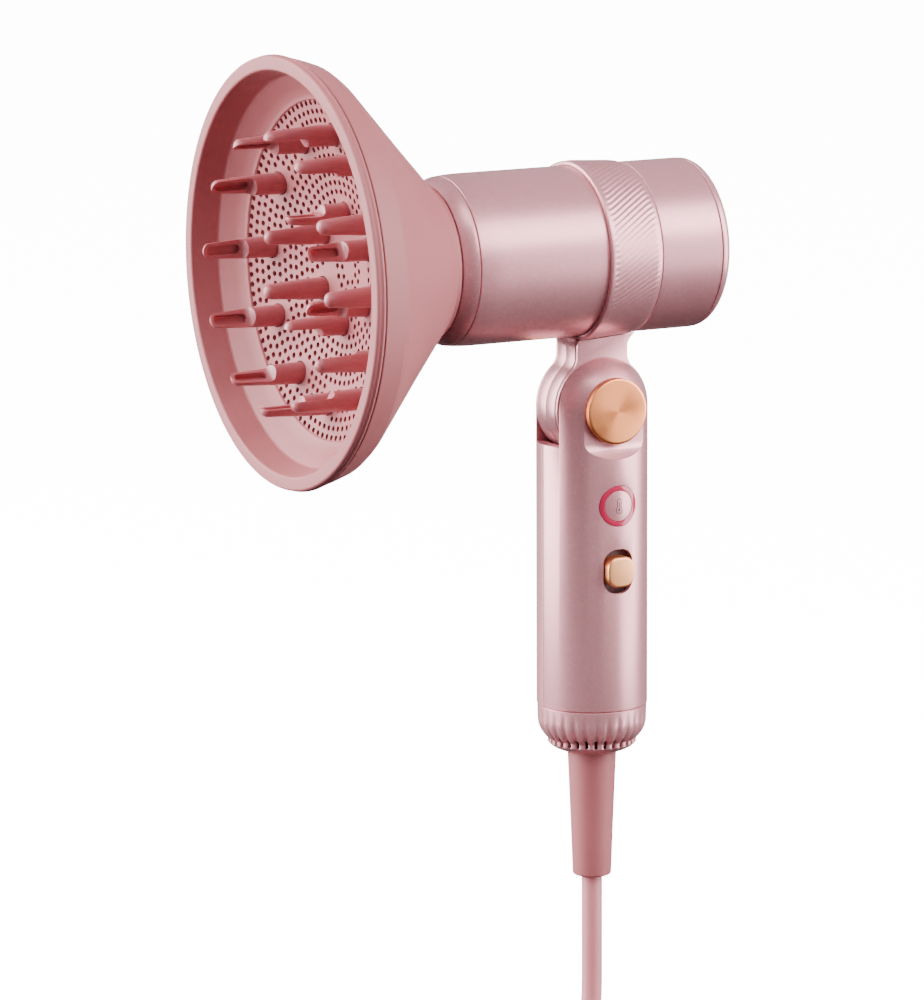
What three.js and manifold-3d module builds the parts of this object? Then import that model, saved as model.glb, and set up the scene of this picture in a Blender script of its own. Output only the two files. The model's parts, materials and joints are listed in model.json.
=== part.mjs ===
// A folding hand-held hair dryer with a wide curl diffuser, as an assembly of separate solids.
// Millimetres. +Z is up along the handle, +X is forward (the way the air leaves), and +Y is the
// side that carries the buttons. The origin is the middle of the grip, on the handle's axis.
import * as THREE from "three";
import { mergeVertices } from "three/addons/utils/BufferGeometryUtils.js";
import Module from "manifold-3d";

const wasm = await Module();
wasm.setup();

// ---------------------------------------------------------------- driving dimensions
const GAP = 0.3;                       // clearance kept between neighbouring pieces
const ROUND = 32;                      // sides of a large round piece
const INNER_ROUND = 16;                // sides of a round piece inside the casings
const SMALL_ROUND = 12;                // sides of a small round piece

const HANDLE_R = 19.5;
const HANDLE_WALL = 1.8;
const HINGE_Z = 60;                    // height of the folding hinge above the grip's middle
const HANDLE_SEAM_Z = HINGE_Z - 106;   // where the handle's shells meet the bottom cap
const CAP_BOTTOM_Z = HINGE_Z - 123.5;
const RELIEF_BOTTOM_Z = HINGE_Z - 168.5;

const KNUCKLE_R = 18.3;
const WELL_R = 19.8;                   // round end of the slot that the knuckle turns in
const KNUCKLE_HALF = 7.6;              // half thickness of the knuckle between the handle's cheeks
const SLOT_HALF = 8.3;                 // half width of the slot that takes it
const LEDGE_DROP = 12.7;               // the slot's front edge, below the hinge axis
const NECK_HALF = 10.15;               // half width of the neck, seen from the side
const NECK_FILLET = 6;                 // radius of the hollow between knuckle and neck
const NECK_FLARE = 2.8;                // how much wider each side gets under the collar
const PIN_R = 4;
const PIN_HALF_LENGTH = 14.5;

const HINGE_CAP_R = 11.5;
const HINGE_CAP_FACE_Y = 18.7;
const RECESS_Y = 15.6;                 // floor of the flat that the hinge cap sits on

const BUTTON_Z = HINGE_Z - 33;
const BUTTON_R = 5.35;
const LIGHT_RING_R = 7.2;
const SWITCH_Z = HINGE_Z - 56.2;
const SWITCH_SLOT = { width: 11.5, height: 15.8, corner: 4.9 };
const SWITCH_KNOB = { width: 10.6, height: 10.9, corner: 4, face: 21.6 };

const BARREL_RISE = 54.5;              // barrel axis above the hinge axis
const BARREL_R = 29.7;
const BARREL_WALL = 1.6;
const REAR_END = -39.5;                // places along the barrel, measured forward from the hinge
const REAR_SEAM = -35.5;
const COLLAR_REAR = -11.5;
const COLLAR_FRONT = 9.4;
const COLLAR_R = 31.3;
const FRONT_SEAM = 58.9;
const NOZZLE_FRONT = 64.4;

const BOWL_REAR = 64.8;
const BOWL_REAR_R = 26.6;
const BOWL_FLANGE = 108.8;
const BOWL_FLANGE_R = 71;
const RIM_SEAM = 117.8;
const RIM_FRONT = 121.3;
const RIM_R = 74;
const RIM_INNER_R = 68.6;
const PLATE_R = 58.5;
const PLATE_EDGE = 104.2;
const PLATE_CENTRE = 94.2;
const PLATE_WALL = 1.4;
const RING_TURN = -3;                  // degrees the prong rings are turned about the barrel axis
const OUTER_PRONGS = { count: 12, ring: 46.3, tip: 127.2, base: 101.2, start: RING_TURN };
const INNER_PRONGS = { count: 6, ring: 19.1, tip: 118.6, base: 96.2, start: 30 + RING_TURN };
const PRONG_BASE_R = 3.8;
const PRONG_TIP_R = 2.5;

const CORD_R = 3.65;
const CORD_BEND = 30;
const FLOOR_Z = -186;
const COIL = { inner: 28.6, outer: 50.9, height: 20.2, lead: 47 };
const COIL_HEADING = 8;                // degrees from +X that the cord runs along the floor
// The plug lies over the coil: bearing and distance of its cord end from the coil's middle, its
// direction, its size, and how far its origin lies in front of its cord end.
const PLUG = { bearing: 90, distance: 40, direction: 195, length: 40, width: 35, height: 16, behind: 24 };

// ---------------------------------------------------------------- finishes
const finish = (color, roughness, metalness = 0) => ({ color, roughness, metalness });
const SATIN_PINK = finish(0xc99ba0, 0.38, 0.5);
const MATT_PINK = finish(0xc7949a, 0.6);
const PRONG_ROSE = finish(0xa85f68, 0.45);
const ROSE_GOLD = finish(0xd9a27c, 0.3, 1);
const CRIMSON = finish(0xc02a58, 0.3);
const DARK_PLASTIC = finish(0x3a2b2d, 0.6);
const RUBBER = finish(0x2a2828, 0.8);
const STEEL = finish(0xa8a9ab, 0.35, 1);
const COPPER = finish(0xb87348, 0.4, 1);
const MICA = finish(0xcfc3a2, 0.7);
const BOARD_GREEN = finish(0x2f6a4a, 0.6);

// ---------------------------------------------------------------- solids
function toSolid(geometry) {
  let bare = geometry.clone();
  bare.deleteAttribute("normal");
  bare.deleteAttribute("uv");
  bare = mergeVertices(bare, 1e-4);
  const index = bare.index.array;
  const triangles = [];
  for (let i = 0; i < index.length; i += 3) {
    const [a, b, c] = [index[i], index[i + 1], index[i + 2]];
    if (a !== b && b !== c && c !== a) triangles.push(a, b, c);
  }
  const position = bare.attributes.position.array;
  if (signedVolume(position, triangles) < 0) {
    for (let i = 0; i < triangles.length; i += 3) {
      [triangles[i + 1], triangles[i + 2]] = [triangles[i + 2], triangles[i + 1]];
    }
  }
  const vertProperties = new Float32Array(position);
  const triVerts = new Uint32Array(triangles);
  return new wasm.Manifold(new wasm.Mesh({ numProp: 3, vertProperties, triVerts }));
}

function signedVolume(position, triangles) {
  const [a, b, c] = [new THREE.Vector3(), new THREE.Vector3(), new THREE.Vector3()];
  let volume = 0;
  for (let i = 0; i < triangles.length; i += 3) {
    a.fromArray(position, 3 * triangles[i]);
    b.fromArray(position, 3 * triangles[i + 1]);
    c.fromArray(position, 3 * triangles[i + 2]);
    volume += a.dot(b.cross(c));
  }
  return volume;
}

function toGeometry(solid) {
  const mesh = solid.getMesh();
  const geometry = new THREE.BufferGeometry();
  const points = new Float32Array(mesh.numVert * 3);
  for (let i = 0; i < mesh.numVert; i++) {
    for (let k = 0; k < 3; k++) points[3 * i + k] = mesh.vertProperties[mesh.numProp * i + k];
  }
  geometry.setAttribute("position", new THREE.BufferAttribute(points, 3));
  geometry.setIndex(Array.from(mesh.triVerts));
  geometry.computeVertexNormals();
  return geometry;
}

const join = (...solids) => solids.reduce((all, one) => all.add(one));
const cut = (body, ...tools) => tools.reduce((left, tool) => left.subtract(tool), body);

// A body of revolution about Z, from [radius, height] points; the outline closes on itself.
function turned(points, sides = ROUND) {
  const outline = points.map(([r, h]) => new THREE.Vector2(r, h));
  outline.push(outline[0].clone());
  return toSolid(new THREE.LatheGeometry(outline, sides).rotateX(Math.PI / 2));
}

const tube = (outer, inner, low, high, sides = ROUND) =>
  turned([[inner, low], [outer, low], [outer, high], [inner, high]], sides);

const rod = (radius, low, high, sides = SMALL_ROUND) =>
  toSolid(new THREE.CylinderGeometry(radius, radius, high - low, sides)
    .rotateX(Math.PI / 2).translate(0, 0, (low + high) / 2));

const rodAlongY = (radius, low, high, sides = SMALL_ROUND, x = 0, z = 0) =>
  toSolid(new THREE.CylinderGeometry(radius, radius, high - low, sides)
    .translate(x, (low + high) / 2, z));

// A box from its lowest and highest corners.
function block(low, high) {
  const size = high.map((value, k) => value - low[k]);
  const centre = high.map((value, k) => (value + low[k]) / 2);
  return toSolid(new THREE.BoxGeometry(...size).translate(...centre));
}

// A flat outline in the XZ plane, made solid from y = low to y = high.
function plateAlongY(shape, low, high, curveSegments = 8) {
  const options = { depth: high - low, bevelEnabled: false, curveSegments };
  const geometry = new THREE.ExtrudeGeometry(shape, options);
  return toSolid(geometry.rotateX(Math.PI / 2).translate(0, high, 0));
}

function roundedRectangle(width, height, corner, z = 0) {
  const [x, top, bottom] = [width / 2, z + height / 2, z - height / 2];
  const shape = new THREE.Shape();
  shape.absarc(x - corner, top - corner, corner, 0, Math.PI / 2);
  shape.absarc(-x + corner, top - corner, corner, Math.PI / 2, Math.PI);
  shape.absarc(-x + corner, bottom + corner, corner, Math.PI, 1.5 * Math.PI);
  shape.absarc(x - corner, bottom + corner, corner, 1.5 * Math.PI, 2 * Math.PI);
  return shape;
}

const turnAboutZ = (solid, degrees) => solid.rotate([0, 0, degrees]);

// ---------------------------------------------------------------- scene graph
const hairDryer = new THREE.Group();
const barrel = new THREE.Group();      // local +Z points forward, local -X up
barrel.position.set(0, 0, HINGE_Z + BARREL_RISE);
barrel.rotation.y = Math.PI / 2;
hairDryer.add(barrel);

function add(group, name, solid, { color, roughness, metalness }) {
  const material = new THREE.MeshStandardMaterial({ color, roughness, metalness });
  const mesh = new THREE.Mesh(toGeometry(solid), material);
  mesh.name = name;
  group.add(mesh);
  return mesh;
}

// ---------------------------------------------------------------- handle
function handleOuter(radius = HANDLE_R, low = HANDLE_SEAM_Z) {
  const outline = [[0, low], [radius, low]];
  const steps = 6;
  for (let i = 0; i <= steps; i++) {
    const turn = (i / steps) * Math.PI / 2;
    outline.push([radius * Math.cos(turn), HINGE_Z + radius * Math.sin(turn)]);
  }
  return turned(outline);
}

function hingeSlot() {
  const well = rodAlongY(WELL_R, -SLOT_HALF, SLOT_HALF, ROUND, 0, HINGE_Z);
  const mouth = block([-25, -SLOT_HALF, HINGE_Z - LEDGE_DROP], [25, SLOT_HALF, HINGE_Z + 25]);
  return join(well, mouth);
}

// The flat that a hinge cap sits on, which runs out downwards as a scooped, round-ended ramp.
function capRecess(side) {
  const ramp = new THREE.Shape();
  const low = HINGE_Z - 19;
  ramp.moveTo(RECESS_Y, HINGE_Z + HINGE_CAP_R + GAP);
  ramp.lineTo(25, HINGE_Z + HINGE_CAP_R + GAP);
  ramp.lineTo(25, low);
  ramp.lineTo(HANDLE_R - 1.4, low);
  ramp.lineTo(RECESS_Y, HINGE_Z - HINGE_CAP_R - GAP);
  const wedge = toSolid(new THREE.ExtrudeGeometry(ramp, { depth: 30, bevelEnabled: false })
    .rotateX(Math.PI / 2).rotateZ(Math.PI / 2).translate(-15, 0, 0));
  const outline = new THREE.Shape();
  outline.absarc(0, HINGE_Z, HINGE_CAP_R + GAP, 0, Math.PI);
  outline.absarc(0, HINGE_Z - 19 + HINGE_CAP_R + GAP, HINGE_CAP_R + GAP, Math.PI, 2 * Math.PI);
  const column = plateAlongY(outline, 10, 26, 12);
  const scoop = wedge.intersect(column);
  return side > 0 ? scoop : scoop.mirror([0, 1, 0]);
}

function handleShells() {
  const bore = rod(HANDLE_R - HANDLE_WALL, HANDLE_SEAM_Z - 5, HINGE_Z - 16, ROUND);
  const pinHole = rodAlongY(PIN_R + GAP, -14.8, 14.8, SMALL_ROUND, 0, HINGE_Z);
  const washerPocket = rodAlongY(9.6, -9.8, 9.8, INNER_ROUND, 0, HINGE_Z);
  const whole = cut(handleOuter(), bore, hingeSlot(), pinHole, washerPocket);
  const buttonHole = rodAlongY(LIGHT_RING_R + GAP, 5, 25, INNER_ROUND, 0, BUTTON_Z);
  const { width, height, corner } = SWITCH_SLOT;
  const switchSlot = plateAlongY(roundedRectangle(width, height, corner, SWITCH_Z), 5, 25);
  const left = block([-30, GAP / 2, -80], [30, 30, 100]);
  const right = block([-30, -30, -80], [30, -GAP / 2, 100]);
  const leftShell = cut(whole.intersect(left), buttonHole, switchSlot, capRecess(1));
  add(hairDryer, "handle_shell_left", leftShell, SATIN_PINK);
  add(hairDryer, "handle_shell_right", cut(whole.intersect(right), capRecess(-1)), SATIN_PINK);
}

function handleScrews() {
  const heights = { handle_screw_upper: HINGE_Z - 24, handle_screw_lower: HANDLE_SEAM_Z + 9 };
  for (const [name, z] of Object.entries(heights)) {
    const head = rodAlongY(2.6, -15.5, -13.5, 12, 0, z);
    const shank = rodAlongY(1.3, -13.7, 12, 12, 0, z);
    add(hairDryer, name, join(head, shank), STEEL);
  }
}

function bottomCap() {
  const top = HANDLE_SEAM_Z - GAP;
  const low = CAP_BOTTOM_Z;
  const outer = [[HANDLE_R - 0.1, top], [HANDLE_R - 0.3, low + 12.5], [17.9, low + 8], [16, low + 4.8]];
  const base = [[12.9, low + 1.6], [9, low], [9, low + 1.9], [10.6, low + 2], [12.6, low + 3.5]];
  const outline = [...outer, ...base, [15.6, low + 8], [17.2, low + 12.5], [17.5, top]];
  let cap = turned(outline);
  const vents = 30;
  for (let i = 0; i < vents; i++) {
    const slot = block([12.2, -0.6, low + 3.9], [20, 0.6, low + 7]);
    cap = cut(cap, turnAboutZ(slot, (360 * (i + 0.5)) / vents));
  }
  add(hairDryer, "bottom_vent_cap", cap, SATIN_PINK);
}

function strainRelief() {
  const flange = CAP_BOTTOM_Z + 3.7;
  const outline = [
    [0, RELIEF_BOTTOM_Z], [6.4, RELIEF_BOTTOM_Z], [6.9, RELIEF_BOTTOM_Z + 0.8], [8.6, CAP_BOTTOM_Z - 1],
    [8.6, flange - 1.3], [10.2, flange - 1.3], [10.2, flange + 1], [0, flange + 1],
  ];
  add(hairDryer, "strain_relief", turned(outline, 20), MATT_PINK);
}

function handleInsides() {
  add(hairDryer, "cord_clamp", block([-7, -9, -54], [7, 9, -48]), DARK_PLASTIC);
  add(hairDryer, "control_board", block([-11, -7.6, -26], [11, -6, 34]), BOARD_GREEN);
  const module = block([-7, -5.6, SWITCH_Z - 11], [7, 6, SWITCH_Z + 11]);
  add(hairDryer, "switch_module", module, DARK_PLASTIC);
}

// ---------------------------------------------------------------- buttons
function lightRingAndButton() {
  const ringSleeve = tube(HANDLE_R + 0.15, 16.2, BUTTON_Z - 12, BUTTON_Z + 12);
  const ringColumn = cut(
    rodAlongY(LIGHT_RING_R, 5, 25, INNER_ROUND, 0, BUTTON_Z),
    rodAlongY(BUTTON_R + GAP, 4, 26, INNER_ROUND, 0, BUTTON_Z));
  add(hairDryer, "button_light_ring", ringColumn.intersect(ringSleeve), CRIMSON);
  const face = rod(HANDLE_R, BUTTON_Z - 12, BUTTON_Z + 12, ROUND);
  const button = rodAlongY(BUTTON_R, 14.2, 25, INNER_ROUND, 0, BUTTON_Z).intersect(face);
  const stem = rodAlongY(2.2, 9, 14.6, 12, 0, BUTTON_Z);
  add(hairDryer, "temperature_button", join(button, stem), SATIN_PINK);
}

function powerSwitch() {
  const carrier = join(
    plateAlongY(roundedRectangle(14, 22, 2, SWITCH_Z), 13.2, 14.4, 3),
    block([-2, 8, SWITCH_Z - 3], [2, 13.4, SWITCH_Z + 3]));
  add(hairDryer, "switch_carrier", carrier, DARK_PLASTIC);
  const { width, height, corner, face } = SWITCH_KNOB;
  const knob = plateAlongY(roundedRectangle(width, height, corner, SWITCH_Z), 14.7, face, 5);
  add(hairDryer, "switch_knob", knob, ROSE_GOLD);
}

// ---------------------------------------------------------------- hinge
function hinge() {
  const pin = rodAlongY(PIN_R, -PIN_HALF_LENGTH, PIN_HALF_LENGTH, SMALL_ROUND, 0, HINGE_Z);
  add(hairDryer, "hinge_pin", pin, STEEL);
  for (const [side, name] of [[1, "left"], [-1, "right"]]) {
    const span = (near, far) => (side > 0 ? [near, far] : [-far, -near]);
    const washer = cut(
      rodAlongY(9.2, ...span(8.0, 9.4), INNER_ROUND, 0, HINGE_Z),
      rodAlongY(PIN_R + GAP, ...span(7, 11), SMALL_ROUND, 0, HINGE_Z));
    add(hairDryer, `friction_washer_${name}`, washer, RUBBER);
    const cap = rodAlongY(HINGE_CAP_R, ...span(RECESS_Y + GAP, HINGE_CAP_FACE_Y), ROUND, 0, HINGE_Z);
    add(hairDryer, `hinge_cap_${name}`, cap, ROSE_GOLD);
  }
}

// The knuckle turns between the handle's cheeks and carries the barrel on a waisted neck.
function neckOutline() {
  const shape = new THREE.Shape();
  const foot = Math.sqrt((KNUCKLE_R + NECK_FILLET) ** 2 - (NECK_HALF + NECK_FILLET) ** 2);
  const touch = Math.atan2(foot, NECK_HALF + NECK_FILLET);
  const middle = NECK_HALF + NECK_FILLET;
  const [waist, flared, top] = [HINGE_Z + foot + 2, HINGE_Z + foot + 6.5, HINGE_Z + BARREL_RISE - 20];
  const wide = NECK_HALF + NECK_FLARE;
  shape.absarc(middle, HINGE_Z + foot, NECK_FILLET, Math.PI + touch, Math.PI, true);
  shape.lineTo(NECK_HALF, waist);
  shape.quadraticCurveTo(NECK_HALF, (waist + flared) / 2, wide, flared);
  shape.lineTo(wide, top);
  shape.lineTo(-wide, top);
  shape.lineTo(-wide, flared);
  shape.quadraticCurveTo(-NECK_HALF, (waist + flared) / 2, -NECK_HALF, waist);
  shape.absarc(-middle, HINGE_Z + foot, NECK_FILLET, 0, -touch, true);
  shape.absarc(0, HINGE_Z, KNUCKLE_R, Math.PI - touch, 2 * Math.PI + touch);
  return shape;
}

function neck() {
  const collarBed = toSolid(new THREE.CylinderGeometry(COLLAR_R + GAP, COLLAR_R + GAP, 80, ROUND)
    .rotateZ(Math.PI / 2).translate(0, 0, HINGE_Z + BARREL_RISE));
  const pinHole = rodAlongY(PIN_R + GAP, -12, 12, SMALL_ROUND, 0, HINGE_Z);
  for (const [side, name] of [[1, "left"], [-1, "right"]]) {
    const [low, high] = side > 0 ? [GAP / 2, KNUCKLE_HALF] : [-KNUCKLE_HALF, -GAP / 2];
    const half = cut(plateAlongY(neckOutline(), low, high, 10), collarBed, pinHole);
    add(hairDryer, `neck_${name}`, half, SATIN_PINK);
  }
}

// ---------------------------------------------------------------- barrel shells
function barrelShells() {
  const bore = BARREL_R - BARREL_WALL;
  add(barrel, "barrel_tube_front", tube(BARREL_R, bore, 3, FRONT_SEAM - GAP / 2), SATIN_PINK);
  add(barrel, "barrel_tube_rear", tube(BARREL_R, bore, REAR_SEAM + GAP / 2, COLLAR_REAR - GAP), SATIN_PINK);
  const collar = turned([
    [BARREL_R + GAP, COLLAR_FRONT], [BARREL_R + GAP, 2.5], [bore + 0.2, 2.5], [bore + 0.2, COLLAR_REAR],
    [BARREL_R, COLLAR_REAR], [COLLAR_R - 0.9, COLLAR_REAR + 1.2], [COLLAR_R, COLLAR_FRONT - 0.6],
    [COLLAR_R - 0.5, COLLAR_FRONT],
  ]);
  add(barrel, "ribbed_collar", collar, SATIN_PINK);
  const nozzle = [[27.6, FRONT_SEAM + GAP / 2], [BARREL_R, FRONT_SEAM + GAP / 2], [BARREL_R, 61]];
  const shoulder = [[29.2, 62.7], [28.3, 63.8], [27.1, NOZZLE_FRONT]];
  const lip = [[22.6, NOZZLE_FRONT], [22.6, 62.4], [27.6, 62.4]];
  add(barrel, "nozzle_ring", turned([...nozzle, ...shoulder, ...lip]), SATIN_PINK);
}

function outletGrille() {
  const [back, front] = [59.6, 62.0];
  let grille = tube(27.1, 24.8, back, front, INNER_ROUND);
  grille = join(grille, tube(13, 10, back, front, INNER_ROUND));
  for (let i = 0; i < 6; i++) {
    const spoke = block([11, -0.7, back + 0.2], [25.5, 0.7, front - 0.2]);
    grille = join(grille, turnAboutZ(spoke, 60 * i));
  }
  add(barrel, "outlet_grille", grille, DARK_PLASTIC);
}

// ---------------------------------------------------------------- air path: duct, motor, heater
function innerDuct() {
  const duct = turned([
    [24.2, -29], [27.7, -29], [27.7, -27], [25.4, -27], [25.4, 32], [27.7, 32], [27.7, 34], [25.4, 34],
    [25.4, 57], [24.2, 57],
  ], INNER_ROUND);
  add(barrel, "inner_duct", duct, DARK_PLASTIC);
}

function motor() {
  add(barrel, "motor_sleeve", tube(23.8, 23.1, -8, 10, INNER_ROUND), RUBBER);
  let housing = join(tube(22.8, 21.5, -10, 12, INNER_ROUND), tube(10, 8.2, -9, 11, INNER_ROUND));
  const vanes = 7;
  for (let i = 0; i < vanes; i++) {
    const vane = block([9.2, -0.6, -6], [22, 0.6, 8]);
    housing = join(housing, turnAboutZ(vane, (360 * i) / vanes));
  }
  add(barrel, "motor_housing", housing, STEEL);
  add(barrel, "stator_core", tube(7.9, 5.2, -6, 8, INNER_ROUND), COPPER);
  add(barrel, "motor_shaft", rod(1.5, -22, 10, 12), STEEL);
  add(barrel, "rotor_magnet", tube(4.8, 1.8, -5, 7, INNER_ROUND), STEEL);
  let impeller = turned([[1.8, -21], [5, -21], [7.6, -11.5], [1.8, -11.5]], INNER_ROUND);
  const blades = 9;
  for (let i = 0; i < blades; i++) {
    const blade = block([4.5, -0.5, -5], [20.8, 0.5, 4]).rotate([38, 0, 0]).translate([0, 0, -15.6]);
    impeller = join(impeller, turnAboutZ(blade, (360 * i) / blades));
  }
  add(barrel, "impeller", impeller, DARK_PLASTIC);
}

function heater() {
  const cross = join(block([-16, -0.5, 15], [16, 0.5, 52]), block([-0.5, -16, 15], [0.5, 16, 52]));
  add(barrel, "heater_frame", cross, MICA);
  const outline = [];
  const turns = 3;
  const pitch = 8;
  for (let i = 0; i <= turns; i++) outline.push([18.2, 18 + pitch * i], [19.2, 18 + pitch * (i + 0.5)]);
  const back = [[16.6, 18 + pitch * (turns + 0.5)], [16.6, 18]];
  add(barrel, "heater_winding", turned([...outline, ...back], INNER_ROUND), COPPER);
  add(barrel, "heater_shield", tube(21.2, 20.4, 14, 54, INNER_ROUND), MICA);
  add(barrel, "thermal_cutout", block([2.5, 2.5, 40], [9.5, 6.5, 50]), STEEL);
  add(barrel, "thermal_fuse", rod(1.5, 24, 34, 12).translate([-5, -5, 0]), COPPER);
  const needle = rod(0.6, 51, 57, 8).translate([-26.7, 0, 0]);
  add(barrel, "ion_emitter", join(block([-27.7, -3, 37], [-25.7, 3, 51.2]), needle), STEEL);
}

// ---------------------------------------------------------------- rear filter cover
function filterCover() {
  let cover = turned([
    [0, REAR_END], [27.6, REAR_END], [29.2, REAR_END + 0.9], [BARREL_R, REAR_END + 2.4],
    [BARREL_R, REAR_SEAM - GAP / 2], [27.9, REAR_SEAM - GAP / 2], [27.9, REAR_END + 2], [0, REAR_END + 2],
  ]);
  const slots = 8;
  for (let i = 0; i < slots; i++) {
    const slot = block([11.5, -1, -45], [24.5, 1, -35.5]);
    cover = cut(cover, turnAboutZ(slot, (360 * i) / slots));
  }
  add(barrel, "rear_filter_cover", cover, SATIN_PINK);
  let mesh = rod(27.4, -36.9, -36.1, INNER_ROUND);
  for (const [radius, count] of [[19, 10]]) {
    for (let i = 0; i < count; i++) {
      const hole = rod(4, -38, -35, 6).translate([radius, 0, 0]);
      mesh = cut(mesh, turnAboutZ(hole, (360 * i) / count));
    }
  }
  add(barrel, "filter_mesh", mesh, STEEL);
}

// ---------------------------------------------------------------- diffuser
function diffuserAdapter() {
  const outline = [
    [20, BOWL_REAR], [23.7, BOWL_REAR], [23.7, 72], [25.2, 72], [25.2, 73.4], [20, 73.4],
    [20, 68.6], [21.6, 68.6], [21.6, 65.8], [20, 65.8],
  ];
  add(barrel, "diffuser_adapter", turned(outline, INNER_ROUND), MATT_PINK);
  add(barrel, "adapter_magnet", tube(21.2, 20, 66.1, 68.3, INNER_ROUND), STEEL);
}

function diffuserShell() {
  const outer = [
    [BOWL_REAR_R, BOWL_REAR], [BOWL_REAR_R + 0.3, 66.4], [BOWL_FLANGE_R - 1.2, BOWL_FLANGE - 1.4],
    [BOWL_FLANGE_R, BOWL_FLANGE], [RIM_R - 0.4, RIM_SEAM - GAP / 2],
  ];
  const inner = [
    [RIM_R - 2.2, RIM_SEAM - GAP / 2], [BOWL_FLANGE_R - 2.2, BOWL_FLANGE + 0.6], [27.2, 69.5], [27.2, 71.4],
    [24.2, 71.4], [24.2, BOWL_REAR],
  ];
  add(barrel, "diffuser_bowl", turned([...outer, ...inner]), MATT_PINK);
  const rim = turned([
    [RIM_R - 0.3, RIM_SEAM + GAP / 2], [RIM_R, RIM_SEAM + 1], [RIM_R - 0.9, RIM_FRONT - 0.5],
    [RIM_R - 1.8, RIM_FRONT], [RIM_INNER_R + 0.6, RIM_FRONT], [RIM_INNER_R, RIM_FRONT - 0.6],
    [RIM_INNER_R - 2, 111.4], [PLATE_R + 1, 105.8], [PLATE_R + 1, 104.4], [66, 109.4],
    [68.2, 111.8], [70.4, RIM_SEAM + GAP / 2],
  ]);
  add(barrel, "diffuser_rim", rim, MATT_PINK);
}

// Height along the barrel of the dished plate's front face at a radius.
const dish = (radius) => PLATE_CENTRE + (PLATE_EDGE - PLATE_CENTRE) * (radius / PLATE_R) ** 1.5;

function diffuserPlate() {
  const radii = [0, PLATE_R * 0.3, PLATE_R * 0.65, PLATE_R];
  const back = radii.map((r) => [r, dish(r) - PLATE_WALL]);
  const front = radii.map((r) => [r, dish(r)]).reverse();
  let plate = turned([...back, ...front]);
  for (const { count, ring, start } of [OUTER_PRONGS, INNER_PRONGS]) {
    for (let i = 0; i < count; i++) {
      const hole = rod(PRONG_BASE_R + 0.6, 85, 110, 8).translate([0, ring, 0]);
      plate = cut(plate, turnAboutZ(hole, start + (360 * i) / count));
    }
  }
  for (const [radius, count] of [[32, 12]]) {
    for (let i = 0; i < count; i++) {
      const hole = rod(3, 85, 110, 6).translate([0, radius, 0]);
      plate = cut(plate, turnAboutZ(hole, (360 * i) / count));
    }
  }
  add(barrel, "diffuser_plate", plate, MATT_PINK);
}

// Prongs moulded on one carrier ring, which sits behind the plate.
function prongRing(name, { count, ring, tip, base, start }) {
  const behind = dish(ring) - PLATE_WALL - 1.2;
  let prongs = tube(ring + 4.6, ring - 4.6, behind - 1.4, behind, INNER_ROUND);
  for (let i = 0; i < count; i++) {
    const outline = [
      [0, behind - 0.5], [PRONG_BASE_R, behind - 0.5], [PRONG_BASE_R, base + 2],
      [PRONG_TIP_R + 0.3, tip - 2], [PRONG_TIP_R * 0.5, tip], [0, tip],
    ];
    const prong = turned(outline, 8).translate([0, ring, 0]);
    prongs = join(prongs, turnAboutZ(prong, start + (360 * i) / count));
  }
  add(barrel, name, prongs, PRONG_ROSE);
}

// ---------------------------------------------------------------- cord and plug
// The lead drops straight from the strain relief, turns onto the floor and runs up to its coil.
const heading = new THREE.Vector3(
  Math.cos(THREE.MathUtils.degToRad(COIL_HEADING)), Math.sin(THREE.MathUtils.degToRad(COIL_HEADING)), 0);
const sideways = new THREE.Vector3(-heading.y, heading.x, 0);
const leadReach = CORD_BEND + 30;      // from the handle's axis to where the lead joins the coil's turn
const coilCentre = heading.clone().multiplyScalar(leadReach).addScaledVector(sideways, COIL.lead);

function cordLead() {
  const floorLine = FLOOR_Z + CORD_R;
  const points = [];
  const drop = floorLine + CORD_BEND;
  const top = RELIEF_BOTTOM_Z - GAP;
  for (let i = 0; i <= 3; i++) points.push(new THREE.Vector3(0, 0, top + ((drop - top) * i) / 3));
  for (let i = 1; i <= 6; i++) {
    const turn = (i / 6) * Math.PI / 2;
    const point = heading.clone().multiplyScalar(CORD_BEND * (1 - Math.cos(turn)));
    points.push(point.setZ(drop - CORD_BEND * Math.sin(turn)));
  }
  const section = new THREE.Shape();
  section.absarc(0, 0, CORD_R, 0, 2 * Math.PI);
  const extrudePath = new THREE.CatmullRomCurve3(points, false, "centripetal");
  const options = { steps: 16, curveSegments: 5, extrudePath };
  add(hairDryer, "cord_lead", toSolid(new THREE.ExtrudeGeometry(section, options)), MATT_PINK);
}

function cordCoil() {
  const { inner, outer, height } = COIL;
  const [low, middle, high] = [FLOOR_Z, FLOOR_Z + CORD_R * 2, FLOOR_Z + height];
  const ring = turned([
    [inner, low], [outer, low], [outer, middle], [43.4, high], [36, high], [inner, middle],
  ], 32);
  add(hairDryer, "cord_coil", ring.translate([coilCentre.x, coilCentre.y, 0]), MATT_PINK);
}

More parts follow.
